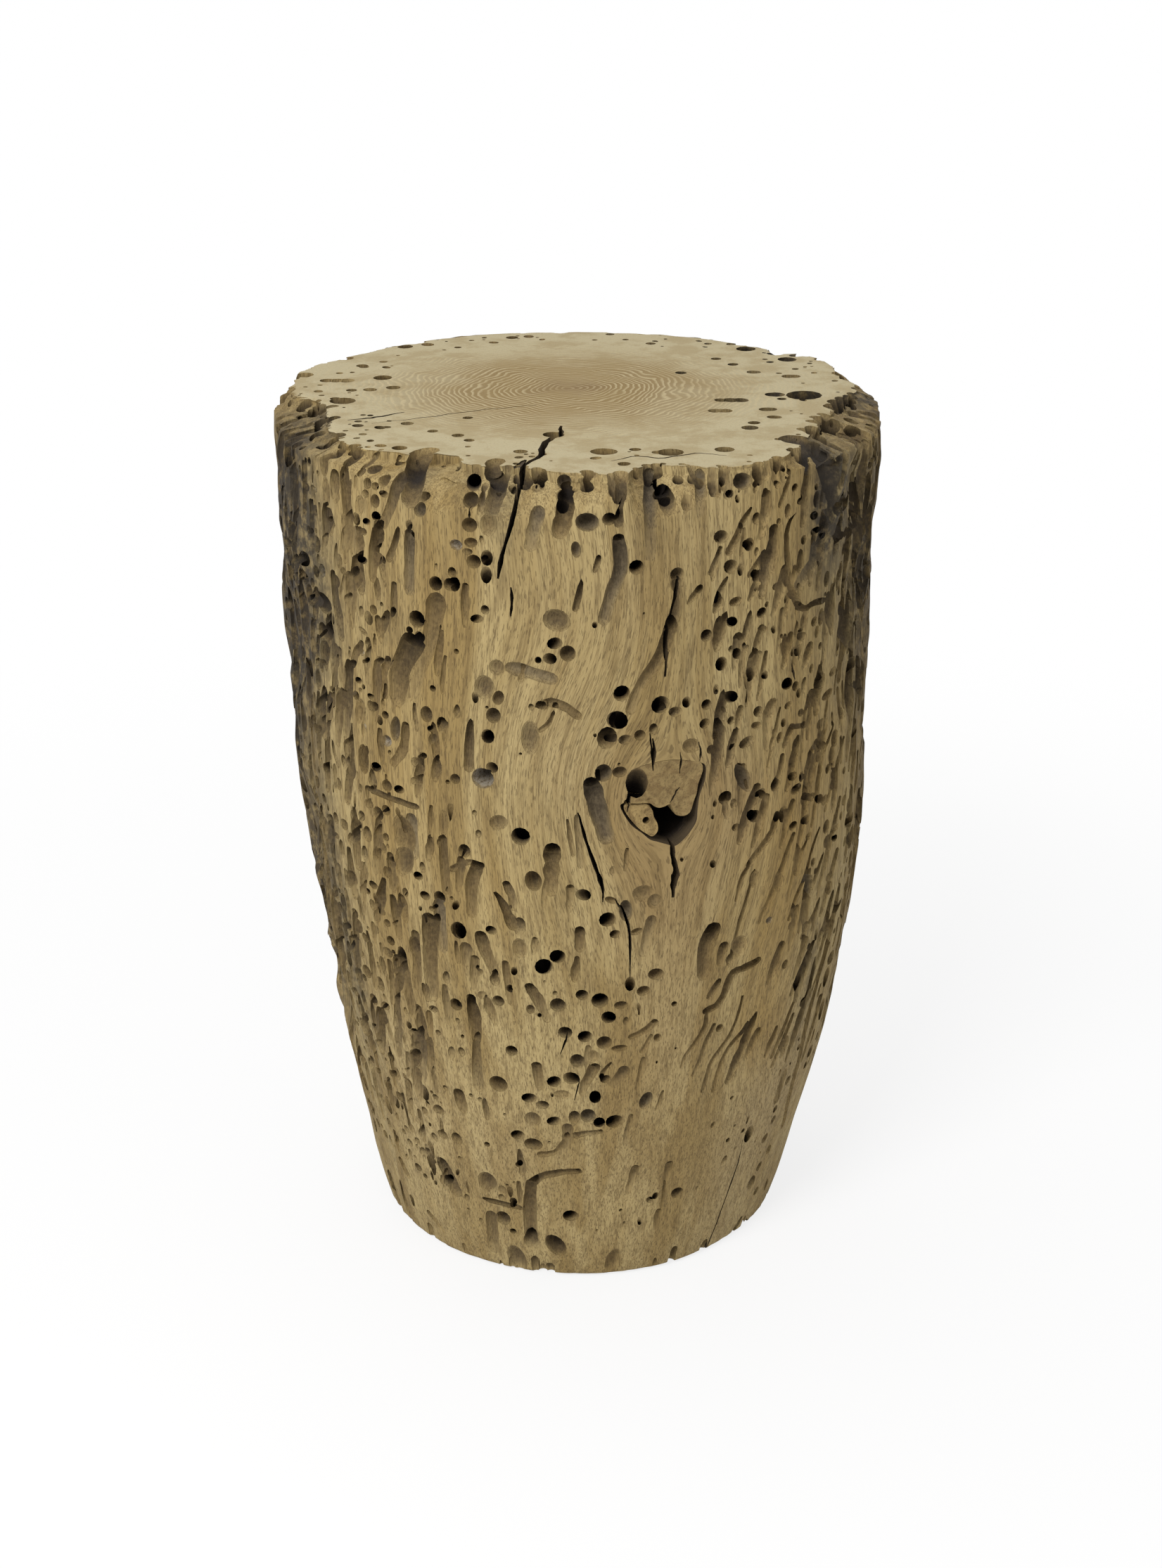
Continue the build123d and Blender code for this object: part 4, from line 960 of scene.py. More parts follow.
# %% Pits and cracks in the seat
for x, y, width, height in SEAT_PITS:
    point = on_seat([(x, y)])[0]
    here, beside, behind = to_picture([point, point + (1, 0, 0), point + (0, 1, 0)])
    wide = width / np.hypot(*(beside - here))
    long = max(height / np.hypot(*(behind - here)), wide * 0.45)
    radius = min(wide, long) / 2
    slant = np.array([-0.3 * math.sin(x), -0.3 * math.cos(y), -1.0])
    path = [point - slant * 3 + slant * step for step in np.linspace(0, rng.uniform(9, 26), 5)]
    offset = (wide - 2 * radius) / 2
    for shift in ([0.0] if offset < 0.6 else [-offset, 0.0, offset]):
        add_tool(tube(np.array(path) + (shift, 0, 0), np.full(5, radius * rng.uniform(0.85, 1.1))))
for width, depth, places in SEAT_CRACKS:
    points = on_seat(places)
    at = np.linspace(0, len(points) - 1, 4 * len(points))
    points = np.column_stack([np.interp(at, np.arange(len(points)), points[:, k]) for k in range(3)])
    points[:, :2] += 0.35 * rng.normal(size=(len(points), 2))
    thin = 0.3 + 0.7 * np.sin(math.pi * np.linspace(0.05, 0.95, len(points)))
    add_crack(crack_cells(points, np.tile(UP, (len(points), 1)), width * 0.16 * thin, depth * thin))
print("tools so far:", len(tools))

# %% [markdown]
# ## Smaller holes, the sides and the back
#
# The tables hold the holes that can be told apart. Between them, and all round the back, the same kinds
# of holes are scattered with a fixed seed, denser where the sea ate more. A hole is left out where
# another one is too near, because shipworms steer clear of each other.

# %% The wider holes and galleries of the back, which stand where the solid timber has them too
BACK_HOLES, BACK_GALLERIES = 84, 16
BACK_FROM, BACK_SPAN = 82, 196
BACK_RADIUS, BACK_LONG, BACK_SLANT = 3.6, 25, math.radians(3)
scatter = np.random.default_rng(17)


def sprinkled(number, offset=0.0):
    """Turn of a hole on the back from its number, so that neighbours in height stand far apart."""
    return math.radians(BACK_FROM + BACK_SPAN * ((number * 0.618 + offset) % 1))


def unrolled_place(turn, z):
    """Place on the side, unrolled flat in millimetres."""
    return np.array([centred(turn) * GIRTH, z])


for number in range(BACK_HOLES):
    turn, z = sprinkled(number), BASE + TALL * (0.04 + 0.92 * (number + 0.5) / BACK_HOLES)
    radius = BACK_RADIUS * (1 + 0.45 * math.sin(number * 2.9))
    swing, rise = turn + 0.3 * math.sin(number * 1.9), math.radians(25 * math.cos(number * 2.3))
    direction = -(outward(swing) * math.cos(rise) + UP * math.sin(rise))
    point = place_frame(turn, z)[0]
    path = bend_in(point, direction, 34 if number % 3 else 18, radius, scatter)
    add_tool(tube(path, radius * (1 + 0.06 * scatter.normal(size=len(path)))))
    taken.append((unrolled_place(turn, z), radius * 1.1))
for number in range(BACK_GALLERIES):
    turn, share = sprinkled(number, 0.3), 0.12 + 0.76 * (number + 0.5) / BACK_GALLERIES
    long = BACK_LONG * (1 + 0.4 * math.sin(number * 2.9))
    radius = BACK_RADIUS * (1 + 0.4 * math.sin(number * 1.7))
    along = np.linspace(-1, 1, 9)
    spots = [(turn + BACK_SLANT * step, BASE + TALL * share + long * step) for step in along]
    frames = [place_frame(*spot) for spot in spots]
    path = [frame[0] - frame[1] * radius * (step + 1) / 2 for frame, step in zip(frames, along)]
    path = np.array(path) + 0.5 * scatter.normal(size=(9, 3))
    add_tool(tube(path, radius * (1 + UNEVEN * scatter.normal(size=9))))
    taken.extend((unrolled_place(*spot), radius) for spot in spots[::2])
print("wider ones on the back:", BACK_HOLES, "holes and", BACK_GALLERIES, "galleries")


# %% Scattered holes and galleries
def free_place(turn_span, height_span, room):
    """A free place on the side as a turn and a height, or None after some tries."""
    near_places = np.array([place for place, _ in taken])
    near_rooms = np.array([near for _, near in taken])
    for _ in range(30):
        turn = math.radians(scatter.uniform(*turn_span))
        z = BASE + TALL * scatter.uniform(*height_span)
        here = unrolled_place(turn, z)
        apart = 0.9 - 0.4 * float(strip_wear(turn, z))
        if np.all(np.hypot(*(near_places - here).T) > apart * (room + near_rooms)):
            taken.append((here, room))
            return turn, z
    return None


def scattered_holes(count, turn_span, height_span, widths, kind):
    """Add so many tunnels, pits or scoops with widths in a span, in millimetres."""
    for _ in range(count):
        width = widths[0] + (widths[1] - widths[0]) * scatter.random() ** 1.6
        place = free_place(turn_span, height_span, width * 0.55)
        if place is None:
            continue
        point, out, sideways, upward = place_frame(*place)
        high = width * (1 + 1.3 * scatter.random() ** 2)
        if kind == "deep":
            slant = math.acos(width / high) * (1 if scatter.random() < 0.5 else -1)
            direction = -out * math.cos(slant) + upward * math.sin(slant) + 0.15 * scatter.normal(size=3)
            direction /= np.linalg.norm(direction)
            path = bend_in(point, direction, min(38, width * scatter.uniform(3, 7)), width / 2, scatter)
            add_tool(tube(path, width / 2 * (1 + UNEVEN * scatter.normal(size=len(path))), 10))
        else:
            sink, share, half = hollow_axes(kind, width, high, width)
            add_tool(egg(point + out * width * share * sink, half, (sideways, upward, out), 12))


def scattered_galleries(count, turn_span, height_span, widths, lengths, lean=0.0):
    """Add so many galleries up the side that widen and deepen towards their upper end."""
    for _ in range(count):
        width, length = scatter.uniform(*widths), scatter.uniform(*lengths)
        place = free_place(turn_span, height_span, width * 0.6)
        if place is None:
            continue
        turn, z = place
        steps = max(5, int(length / 4))
        share = np.linspace(0, 1, steps)
        drift = np.cumsum(scatter.normal(size=steps)) * 0.35 + (lean + 0.12 * scatter.normal()) * length * share
        sunk = scatter.uniform(-0.1, 0.6)
        path, radii = [], []
        for step in range(steps):
            height = min(z + length * share[step], SEAT - 1)
            point, out, _, _ = place_frame(turn + drift[step] / GIRTH, height)
            swell = 0.55 + 0.5 * math.sin(math.pi * (0.1 + 0.6 * share[step]))
            radius = width / 2 * swell * (1 + UNEVEN * scatter.normal())
            path.append(point - out * radius * (sunk - 0.6 + 0.9 * share[step]))
            radii.append(radius)
        path.append(path[-1] - out * radii[-1] * 1.5 + UP * radii[-1])
        radii.append(radii[-1] * 0.9)
        add_tool(tube(path, radii, 10))


# How many, between which turns, between which height shares, widths, lengths, and the lean
for zone in (
    (44, (84, 276), (0.05, 0.92), (4.5, 8.5), (16, 60), 0.0),
    (90, (84, 276), (0.03, 0.94), (2.6, 5.5), (10, 40), 0.0),
    (60, (-84, -58), (0.15, 0.95), (3.0, 8.0), (10, 36), 0.0),
    (60, (-84, -56), (0.12, 0.97), (2.0, 4.0), (6, 20), 0.0),
    (44, (-58, -34), (0.12, 0.95), (3.0, 7.5), (8, 32), 0.05),
    (50, (-58, -34), (0.10, 0.97), (2.0, 4.0), (5, 18), 0.0),
    (22, (-34, -14), (0.10, 0.95), (2.6, 6.0), (8, 26), 0.05),
    (14, (-14, 24), (0.05, 0.60), (2.2, 5.0), (6, 20), 0.1),
    (34, (24, 48), (0.60, 0.97), (2.6, 7.0), (8, 30), 0.20),
    (26, (30, 56), (0.26, 0.62), (3.4, 7.0), (14, 46), 0.35),
    (40, (-66, -34), (0.25, 0.93), (5.0, 9.0), (14, 44), 0.0),
    (30, (44, 80), (0.40, 0.93), (5.0, 9.0), (14, 40), 0.1),
    (60, (48, 84), (0.22, 0.97), (3.0, 8.0), (10, 40), 0.15),
    (50, (48, 84), (0.20, 0.98), (2.0, 4.0), (6, 22), 0.15),
):
    scattered_galleries(*zone)
# How many, between which turns, between which height shares, widths, and the kind
for zone in (
    (160, (84, 276), (0.02, 0.98), (2.6, 7.0), "deep"),
    (80, (84, 276), (0.02, 0.98), (3.0, 7.0), "pit"),
    (26, (84, 276), (0.05, 0.95), (5.0, 11.0), "scoop"),
    (150, (-84, -56), (0.12, 0.98), (2.4, 7.0), "deep"),
    (110, (-72, -34), (0.25, 0.985), (4.0, 8.0), "pit"),
    (80, (44, 78), (0.45, 0.985), (3.5, 8.0), "pit"),
    (130, (-58, -34), (0.10, 0.98), (2.0, 6.0), "deep"),
    (44, (-34, -14), (0.06, 0.95), (1.6, 4.6), "deep"),
    (26, (-14, 26), (0.05, 0.95), (1.4, 3.8), "deep"),
    (40, (24, 48), (0.60, 0.98), (2.0, 5.5), "deep"),
    (14, (30, 60), (0.05, 0.30), (1.6, 4.0), "deep"),
    (150, (48, 84), (0.20, 0.98), (2.2, 7.0), "deep"),
):
    scattered_holes(*zone)
print("tools with the scattered ones:", len(tools))

# %% Bites in the rim and in the base's edge, where the saw opened tunnels that ran along it
# How many, at which end, and which way they run into the timber
for count, level, heading in ((180, SEAT, -1), (36, BASE, 1)):
    for _ in range(count):
        turn, radius = scatter.uniform(0, math.tau), 1.2 + 4.4 * scatter.random() ** 1.6
        front = math.cos(turn) > 0.6
        radius = min(radius, 2.6) if front else radius
        edge = float(radius_at(level)) - float(broad_relief(turn, level))
        reach = edge + radius * scatter.uniform(-1.0 if front else -1.3, 0.5)
        middle = ring_point(turn, reach, level)
        lean = outward(turn) * scatter.uniform(0.0, 0.16) + 0.06 * scatter.normal(size=3)
        steps = np.linspace(-4, scatter.uniform(5, 12 if front else 40), 7)[:, None]
        path = middle + (lean + heading * UP) * steps + outward(turn) * 0.3 * np.sin(steps / 4)
        add_tool(tube(path, radius * (1 + 0.06 * scatter.normal(size=7)), 12))

# %% Small holes in the outer ring of the seat, and holes in the worn shoulders outside it
SEAT_HOLES = 240
for number in range(SEAT_HOLES):
    turn, radius = scatter.uniform(0, math.tau), 0.8 + 2.3 * scatter.random() ** 1.7
    reach = float(reach_at(turn))
    if number % 8 < 3:
        radius, reach = 1.4 * radius, reach + (GIRTH - reach) * scatter.random()
    else:
        reach -= 2 + 34 * scatter.random() ** 1.6
    mouth = np.array([reach * math.sin(turn), -reach * math.cos(turn), SEAT])
    slant = np.array([0.4 * scatter.normal(), 0.4 * scatter.normal(), -1.0])
    path = mouth + slant * np.linspace(-3, scatter.uniform(3, 22), 5)[:, None]
    add_tool(tube(path, np.full(5, radius), 12))
print("tools with the rim's and the seat's:", len(tools))

# %% Cracks in the back: turn, from and to which height share, width and depth
BACK_CRACK_STEPS = 26
for turn, low, high, width, depth in (
    (118, 0.45, 0.97, 1.8, 20), (163, 0.03, 0.52, 1.4, 18), (205, 0.35, 0.94, 2.2, 26), (247, 0.10, 0.60, 1.3, 16),
):
    heights = np.linspace(BASE + TALL * low, BASE + TALL * high, BACK_CRACK_STEPS)
    wander = math.radians(turn) + np.cumsum(scatter.normal(size=BACK_CRACK_STEPS)) * 0.006
    frames = [place_frame(t, z) for t, z in zip(wander, heights)]
    thin = 0.2 + 0.8 * np.sin(math.pi * np.linspace(0.04, 0.96, BACK_CRACK_STEPS)) ** 0.7
    add_crack(crack_cells(*points_and_outs(frames), width / 2 * thin, depth * thin))

# %% Tunnels that the saw opened in the base: eight wide ones at fixed places, and scattered ones
BASE_HOLES = 90
for turn, share in (
    (8, 0.30), (40, 0.12), (95, 0.45), (170, 0.38), (262, 0.34), (0, 0.78), (88, 0.80), (183, 0.76),
):
    mouth = outward(math.radians(turn)) * share * low_radius + UP * BASE
    add_tool(tube(mouth + UP * np.linspace(-3, 14.2, 5)[:, None], np.full(5, 3.8)))
for _ in range(BASE_HOLES):
    reach, turn = low_radius * math.sqrt(scatter.uniform(0.02, 0.92)), scatter.uniform(0, math.tau)
    radius = scatter.uniform(1.4, 4.2)
    mouth = ring_point(turn, reach, BASE)
    path = [mouth + (0, 0, -3)]
    heading = np.array([scatter.normal() * 0.3, scatter.normal() * 0.3, 1.0])
    for _ in range(5):
        heading[:2] += 0.15 * scatter.normal(size=2)
        path.append(path[-1] + heading / np.linalg.norm(heading) * scatter.uniform(4, 7))
    add_tool(tube(path, np.full(6, radius), 10))
print("tools in all:", len(tools))

# %% [markdown]
# ## The knot and its socket
#
# A dead branch left a knot on the front, to the right of the middle. It shrank and split, so two
# pieces stand loose in a socket with a dark hollow between them. The outlines below follow the picture.

# %% Outlines of the socket and of the two pieces of knot wood
SOCKET = (
    (905, 1093), (928, 1085), (951, 1081), (975, 1081), (998, 1085), (1004, 1091), (1004, 1102), (1001, 1113),
    (996, 1128), (993, 1141), (992, 1154), (990, 1168), (983, 1181), (972, 1194), (960, 1203), (946, 1200),
    (935, 1197), (924, 1194), (913, 1185), (899, 1175), (891, 1165), (885, 1155), (882, 1146), (889, 1140),
    (892, 1128), (893, 1112),
)
KNOT_OUTLINES = {
    "knot_upper": (
        (905, 1093), (928, 1085), (951, 1081), (975, 1081), (996, 1084), (1000, 1093), (997, 1104), (993, 1115),
        (991, 1128), (987, 1139), (984, 1150), (980, 1157), (972, 1161), (961, 1159), (956, 1152), (952, 1144),
        (945, 1147), (937, 1149), (930, 1147), (924, 1143), (914, 1143), (902, 1143), (891, 1141), (892, 1128),
        (893, 1112),
    ),
    "knot_left": (
        (888, 1146), (896, 1145), (906, 1145), (915, 1144), (922, 1146), (928, 1153), (930, 1162), (935, 1172),
        (935, 1182), (928, 1190), (919, 1186), (910, 1180), (900, 1170), (892, 1160), (887, 1151),
    ),
}
# Depths under the worn skin in millimetres, the levels of the rings, how much the socket narrows down to
# its bottom, and the gap round the knot's pieces
SOCKET_DEEP, KNOT_DEEP = 26, 21
SOCKET_LEVELS = (-6, -2, 0, 3, 9, 17, SOCKET_DEEP)
KNOT_FRONT = (0.06, 0.16, 0.27, 0.38, 0.49, 0.60, 0.70, 0.79, 0.87, 0.93, 0.97, 0.99)
KNOT_LEVELS = (1.2, 3, 6, 10, 15, KNOT_DEEP)
SOCKET_NARROWS = 0.2
KNOT_PLAY = 0.02
knot_turn, knot_height = (float(value[0]) for value in on_side([(948, 1140)]))


def unrolled(pixels):
    """Picture places on the side, unrolled flat round the knot in millimetres."""
    turn, z = on_side(pixels)
    return np.column_stack([(turn - knot_turn) * float(radius_at(knot_height)), z - knot_height])


def smooth_loop(flat, each=8):
    """Closed outline with rounded corners and more points."""
    count = len(flat)
    at = np.linspace(0, count, count * each, endpoint=False)
    first = np.floor(at).astype(int)
    t = (at - first)[:, None]
    p0, p1, p2, p3 = (flat[(first + k) % count] for k in (-1, 0, 1, 2))
    square, cube = 2 * p0 - 5 * p1 + 4 * p2 - p3, 3 * p1 - p0 - 3 * p2 + p3
    return 0.5 * (2 * p1 + (p2 - p0) * t + square * t**2 + cube * t**3)


def rolled(flat, depth):
    """Points of an unrolled outline, back on the log at a depth under its worn skin."""
    z = knot_height + flat[:, 1]
    turn = knot_turn + flat[:, 0] / float(radius_at(knot_height))
    reach = radius_at(z) - side_relief(turn, z) - depth
    return np.column_stack([middle_at(z) + reach * np.sin(turn), -reach * np.cos(turn), z])


socket_flat = smooth_loop(unrolled(SOCKET))
socket_middle = socket_flat.mean(0)


def narrowed(flat, depth):
    """Outline drawn towards the socket's middle, as the socket narrows with depth."""
    return socket_middle + (flat - socket_middle) * (1 - SOCKET_NARROWS * max(depth, 0) / SOCKET_DEEP)


knot_tools = list(tools)
# The socket and the hollow behind the pieces take the cracks' lining, which paints their walls nearly black as shade
add_tool(closed([rolled(narrowed(socket_flat, level), level) for level in SOCKET_LEVELS]), CRACK)
hollow_flat = unrolled([(955, 1176)])
hollow_path = [rolled(hollow_flat + (0, 0.004 * step**2), step)[0] for step in (15, 25, 36, 48, 60)]
add_tool(tube(hollow_path, (11.5, 11.5, 11, 10, 7), 16), CRACK)
print("knot is", np.ptp(socket_flat, axis=0).round(1), "mm across and up")


def knot_piece(name, outline, lump):
    """Loose piece of knot wood with a worn, lumpy front, flush with the log."""
    flat = smooth_loop(unrolled(outline))
    middle = flat.mean(0)
    outward_flat = flat - middle
    flat = middle + outward_flat * (1 - KNOT_PLAY / np.linalg.norm(outward_flat, axis=1)[:, None])
    rings = []
    for share in KNOT_FRONT:
        ring = middle + (flat - middle) * share
        across, up = ring[:, 0] / 40 % 1, np.clip(ring[:, 1] / 60 + 0.5, 0, 1)
        bumps = 1.3 * soft_noise(across, up, (9, 14), 31) + 0.6 * soft_noise(across, up, (27, 40), 32)
        rings.append(rolled(ring, bumps * (1 - share**8) - lump * (1 - share**2) - 0.1 * (share < 0.98)))
    rings += [rolled(narrowed(flat, depth), depth) for depth in KNOT_LEVELS]
    return lined_object(name, *closed(rings))


KNOT_LUMPS = {"knot_upper": 0.0, "knot_left": 1.0}
knots = {name: knot_piece(name + "_worn", KNOT_OUTLINES[name], lump) for name, lump in KNOT_LUMPS.items()}

# %% Round recesses for the glides in the base
GLIDES = 4
RECESS_PLAY, RECESS_SIDES = 0.25, 48
for number in range(1, GLIDES + 1):
    low, high = (np.array(corner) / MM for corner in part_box(f"glide_cup_{number}"))
    middle, radius = (low + high) / 2, (high[0] - low[0]) / 2 + RECESS_PLAY
    angles = np.arange(RECESS_SIDES) * math.tau / RECESS_SIDES
    circle = middle[:2] + np.column_stack([radius * np.cos(angles), radius * np.sin(angles)])
    levels = (BASE - 4, BASE + 2, high[2])
    rings = [np.column_stack([circle, np.full(RECESS_SIDES, level)]) for level in levels]
    ends = [(*middle[:2], levels[0]), (*middle[:2], levels[-1])]
    add_tool((np.vstack(rings + [ends]), ring_triangles(len(levels), RECESS_SIDES)), SAWN)
print("tools in all:", len(tools))

# %% [markdown]
# ## Cutting
#
# The shapes of one cut mustn't overlap each other, so they are dealt out into groups whose boxes stay
# apart, and each group is cut in one go. The manifold solver is quick and keeps a closed mesh closed with
# crisp edges, but every shape it gets has to be closed too.

# %% Deal the tools into groups and cut
BOX_MARGIN = 0.2


def deal_into_groups(shapes):
    """Lists of shape numbers, where the boxes of the shapes in one list don't touch."""
    boxes = [(corners.min(0) - BOX_MARGIN, corners.max(0) + BOX_MARGIN) for corners, _, _ in shapes]
    groups = []
    for number, (low, high) in enumerate(boxes):
        for group in groups:
            lows, highs = group["low"], group["high"]
            if not np.any(np.all((low < np.array(highs)) & (high > np.array(lows)), axis=1)):
                break
        else:
            group = {"low": [], "high": [], "numbers": []}
            groups.append(group)
        group["low"].append(low)
        group["high"].append(high)
        group["numbers"].append(number)
    return [group["numbers"] for group in groups]


def cutter_from(shapes):
    """One object for several closed shapes, with each shape's lining on its faces."""
    counts = np.cumsum([0] + [len(corners) for corners, _, _ in shapes])
    corners = np.vstack([corners for corners, _, _ in shapes])
    triangles = np.vstack([triangles + start for (_, triangles, _), start in zip(shapes, counts)])
    cutter = lined_object("cutter", corners, triangles)
    lining = np.concatenate([np.full(len(triangles), value) for _, triangles, value in shapes])
    cutter.data.attributes["lining"].data.foreach_set("value", lining.astype(np.float32))
    return cutter


def cut_away(target, shapes):
    """Take closed shapes out of an object, group by group."""
    for numbers in deal_into_groups(shapes):
        cutter = cutter_from([shapes[n] for n in numbers])
        modifier = target.modifiers.new("cut", "BOOLEAN")
        modifier.operation = "DIFFERENCE"
        modifier.solver = "MANIFOLD"
        modifier.object = cutter
        scene_now = bpy.context.evaluated_depsgraph_get()
        mesh = bpy.data.meshes.new_from_object(target.evaluated_get(scene_now))
        target.modifiers.clear()
        old, target.data = target.data, mesh
        bpy.data.meshes.remove(old)
        bpy.data.objects.remove(cutter)


def keep_largest(target):
    """Drop crumbs that the cuts left floating, and keep the part with the most corners."""
    mesh = target.data
    edges = values_of(mesh.edges, "vertices", 2, np.int32)
    label = np.arange(len(mesh.vertices))
    while True:
        low = np.minimum(label[edges[:, 0]], label[edges[:, 1]])
        fresh = label.copy()
        np.minimum.at(fresh, edges[:, 0], low)
        np.minimum.at(fresh, edges[:, 1], low)
        fresh = fresh[fresh]
        if np.array_equal(fresh, label):
            break
        label = fresh
    names, sizes = np.unique(label, return_counts=True)
    keep = label == names[sizes.argmax()]
    if keep.all():
        return
    shape = bmesh.new()
    shape.from_mesh(mesh)
    shape.verts.ensure_lookup_table()
    bmesh.ops.delete(shape, geom=[shape.verts[int(i)] for i in np.flatnonzero(~keep)], context="VERTS")
    shape.to_mesh(mesh)
    shape.free()
    print("dropped", int((~keep).sum()), "corners of loose crumbs in", len(names) - 1, "parts")


cut_away(log, tools)
keep_largest(log)
for piece in knots.values():
    low, high = np.array(piece.bound_box).min(0) / MM, np.array(piece.bound_box).max(0) / MM
    near = [tool for tool in knot_tools if np.all((tool[0].min(0) < high) & (tool[0].max(0) > low))]
    cut_away(piece, near)
    keep_largest(piece)
print("log has", len(log.data.vertices), "corners and", len(log.data.polygons), "faces")

# %% [markdown]
# ## What the colours need to know
#
# Colour follows the wood. The grain runs up the log and flows round the knot, tunnels turn brown inside
# and are painted darker with depth as shade, mud and iron left black stains, and the sawn ends show growth
# rings. Each of these is worked out once for every corner of the mesh and kept as an attribute that the
# materials read.

# %% Patches of colour, read from the picture: place, width and height in pixels, and strength
STAINED = (
    (394, 740, 70, 330, 1.0), (398, 960, 60, 260, 0.8), (1252, 800, 60, 330, 0.3),
    (418, 720, 70, 260, 1.0), (430, 890, 60, 260, 1.0), (405, 1010, 50, 240, 0.8), (468, 880, 40, 130, 0.5),
    (490, 1330, 36, 260, 0.7), (460, 1180, 36, 200, 0.5), (520, 1440, 30, 120, 0.4), (1180, 740, 60, 190, 1.0),
    (1205, 690, 60, 110, 0.8), (1228, 970, 30, 140, 0.5), (1150, 1400, 24, 220, 0.5), (1240, 800, 30, 200, 0.6),
    (718, 730, 40, 170, 0.45), (925, 715, 32, 140, 0.5), (590, 690, 40, 70, 0.4), (560, 900, 60, 120, 0.25),
    (1186, 700, 50, 130, 0.7), (660, 690, 24, 90, 0.3),
)
OCHRE = (
    (1110, 1240, 110, 420, 0.9), (1180, 1080, 90, 300, 0.7), (1090, 760, 110, 260, 0.6), (560, 1100, 190, 420, 0.55),
    (600, 850, 120, 260, 0.4), (1080, 1460, 90, 160, 0.6), (500, 700, 110, 160, 0.4), (700, 1270, 90, 160, 0.35),
)
ROSY = (
    (985, 1180, 170, 190, 1.0), (930, 1240, 130, 190, 0.8), (960, 1400, 110, 330, 0.7), (1040, 1130, 110, 120, 0.8),
    (880, 1120, 120, 130, 0.5), (900, 1600, 150, 260, 0.35), (800, 900, 150, 300, 0.25), (905, 860, 90, 170, 0.4),
)
PALE = (
    (1060, 1620, 170, 330, 0.9), (1120, 1530, 90, 200, 0.6), (590, 1560, 190, 260, 0.6), (790, 1080, 150, 200, 0.4),
    (1000, 760, 120, 160, 0.3), (720, 1640, 160, 160, 0.4),
)


WIDEST_PATCH = 60
# The picture shows nothing beyond this turn to either side, where the back's own patches fade in
UNSEEN_FROM, UNSEEN_FADE = 78, 14


def patches(table, turn, z):
    """Strength of the colour patches of a table at turns and heights, from 0 to 1."""
    total = np.zeros(np.shape(turn))
    turns_here, heights = on_side([row[:2] for row in table])
    for (_, _, width, height, strength), patch_turn, patch_z in zip(table, turns_here, heights):
        wide, high = true_size(place_frame(float(patch_turn), float(patch_z)), width, height)
        across = centred(turn - patch_turn) * GIRTH / min(wide, WIDEST_PATCH) * 2
        total += strength * np.exp(-(across**2) - ((z - patch_z) / high * 2) ** 2)
    return np.clip(total, 0, 1)


def back_patches(turn, z, seed, share):
    """Colour patches for the back, from soft noise, over about this share of it."""
    unseen = np.clip((np.abs(np.degrees(turn)) - UNSEEN_FROM) / UNSEEN_FADE, 0, 1)
    noise = soft_noise(turn / math.tau, (z - BASE) / TALL, (13, 5), seed)
    return unseen * np.clip((noise - 1 + share) / 0.25 + 0.5, 0, 1)


# %% Grain that flows round the knot
KNOT_REACH = 27.0


def grain_lean(across, z, strength, level, middle, wide, height, tall):
    """How far the grain leans round a middle and a height, to one side above a level and the other below."""
    return strength * (z - level) * np.exp(-(((across - middle) / wide) ** 2) - ((z - height) / tall) ** 2)


def grain_place(turn, z, reach):
    """Place in the grain: the log's own place, moved round so that lines of grain bend past the knot."""
    across = centred(turn - knot_turn) * GIRTH
    up = z - knot_height
    bend = -0.8 * across * KNOT_REACH**2 / (across**2 + (up * 0.8) ** 2 + 0.5 * KNOT_REACH**2)
    sweep = grain_lean(across, z, 0.30, 330, -45, 48, 350, 70)
    fan = grain_lean(across, z, 0.22, 250, 62, 40, 200, 90)
    moved = turn + (bend - sweep - fan) / GIRTH
    return np.column_stack([reach * np.sin(moved), -reach * np.cos(moved), z])


def keep_values(target, name, values):
    """Store one value or one vector for each corner of a mesh."""
    kind, field = ("FLOAT", "value") if values.ndim == 1 else ("FLOAT_VECTOR", "vector")
    target.data.attributes.new(name, kind, "POINT").data.foreach_set(field, values.astype(np.float32).ravel())


# Each colour's patches, and the seed and the share of its patches on the back
PATCHES = {
    "stained": (STAINED, 41, 0.30), "ochre": (OCHRE, 42, 0.40), "rosy": (ROSY, 43, 0.25), "pale": (PALE, 44, 0.30),
}
DEEPEST = 60


def mark_wood(target):
    """Store depth, grain and colour patches on a piece of the log."""
    x, y, z = values_of(target.data.vertices, "co", 3).astype(float).T / MM
    x = x - middle_at(z)
    turn, reach = np.arctan2(x, -y), np.hypot(x, y)
    under_side = radius_at(z) - side_relief(turn, z) - reach
    under_seat = SEAT - z - seat_relief(turn, reach)
    depth = np.clip(np.minimum(np.minimum(under_side, under_seat), z - BASE), 0, DEEPEST)
    keep_values(target, "depth", depth)
    keep_values(target, "grain", grain_place(turn, z, reach))
    for name, (table, seed, share) in PATCHES.items():
        keep_values(target, name, np.maximum(patches(table, turn, z), back_patches(turn, z, seed, share)))
    keep_values(target, "eaten", strip_wear(turn, z) * np.clip(0.45 + (SEAT - z) / 50, 0, 1))


for piece in (log, *knots.values()):
    mark_wood(piece)
print("stored on the corners: depth, grain, eaten and", ", ".join(PATCHES))

# %% [markdown]
# ## Materials
#
# Node groups hold the effects: the long grain of the side, the growth rings of both sawn ends, and the
# change of colour down a tunnel, its linings and a painted shade that darkens with depth, which all the wood
# shares. Sizes in them are in millimetres, because the grain attribute is, and the other places are turned
# into millimetres first.

# %% Helpers for nodes
def paint(red, green, blue):
    """Colour from the values that a picture shows, 0 to 255, as the shader needs it."""
    shares = [value / 255 for value in (red, green, blue)]
    return (*(s / 12.92 if s <= 0.04045 else ((s + 0.055) / 1.055) ** 2.4 for s in shares), 1.0)


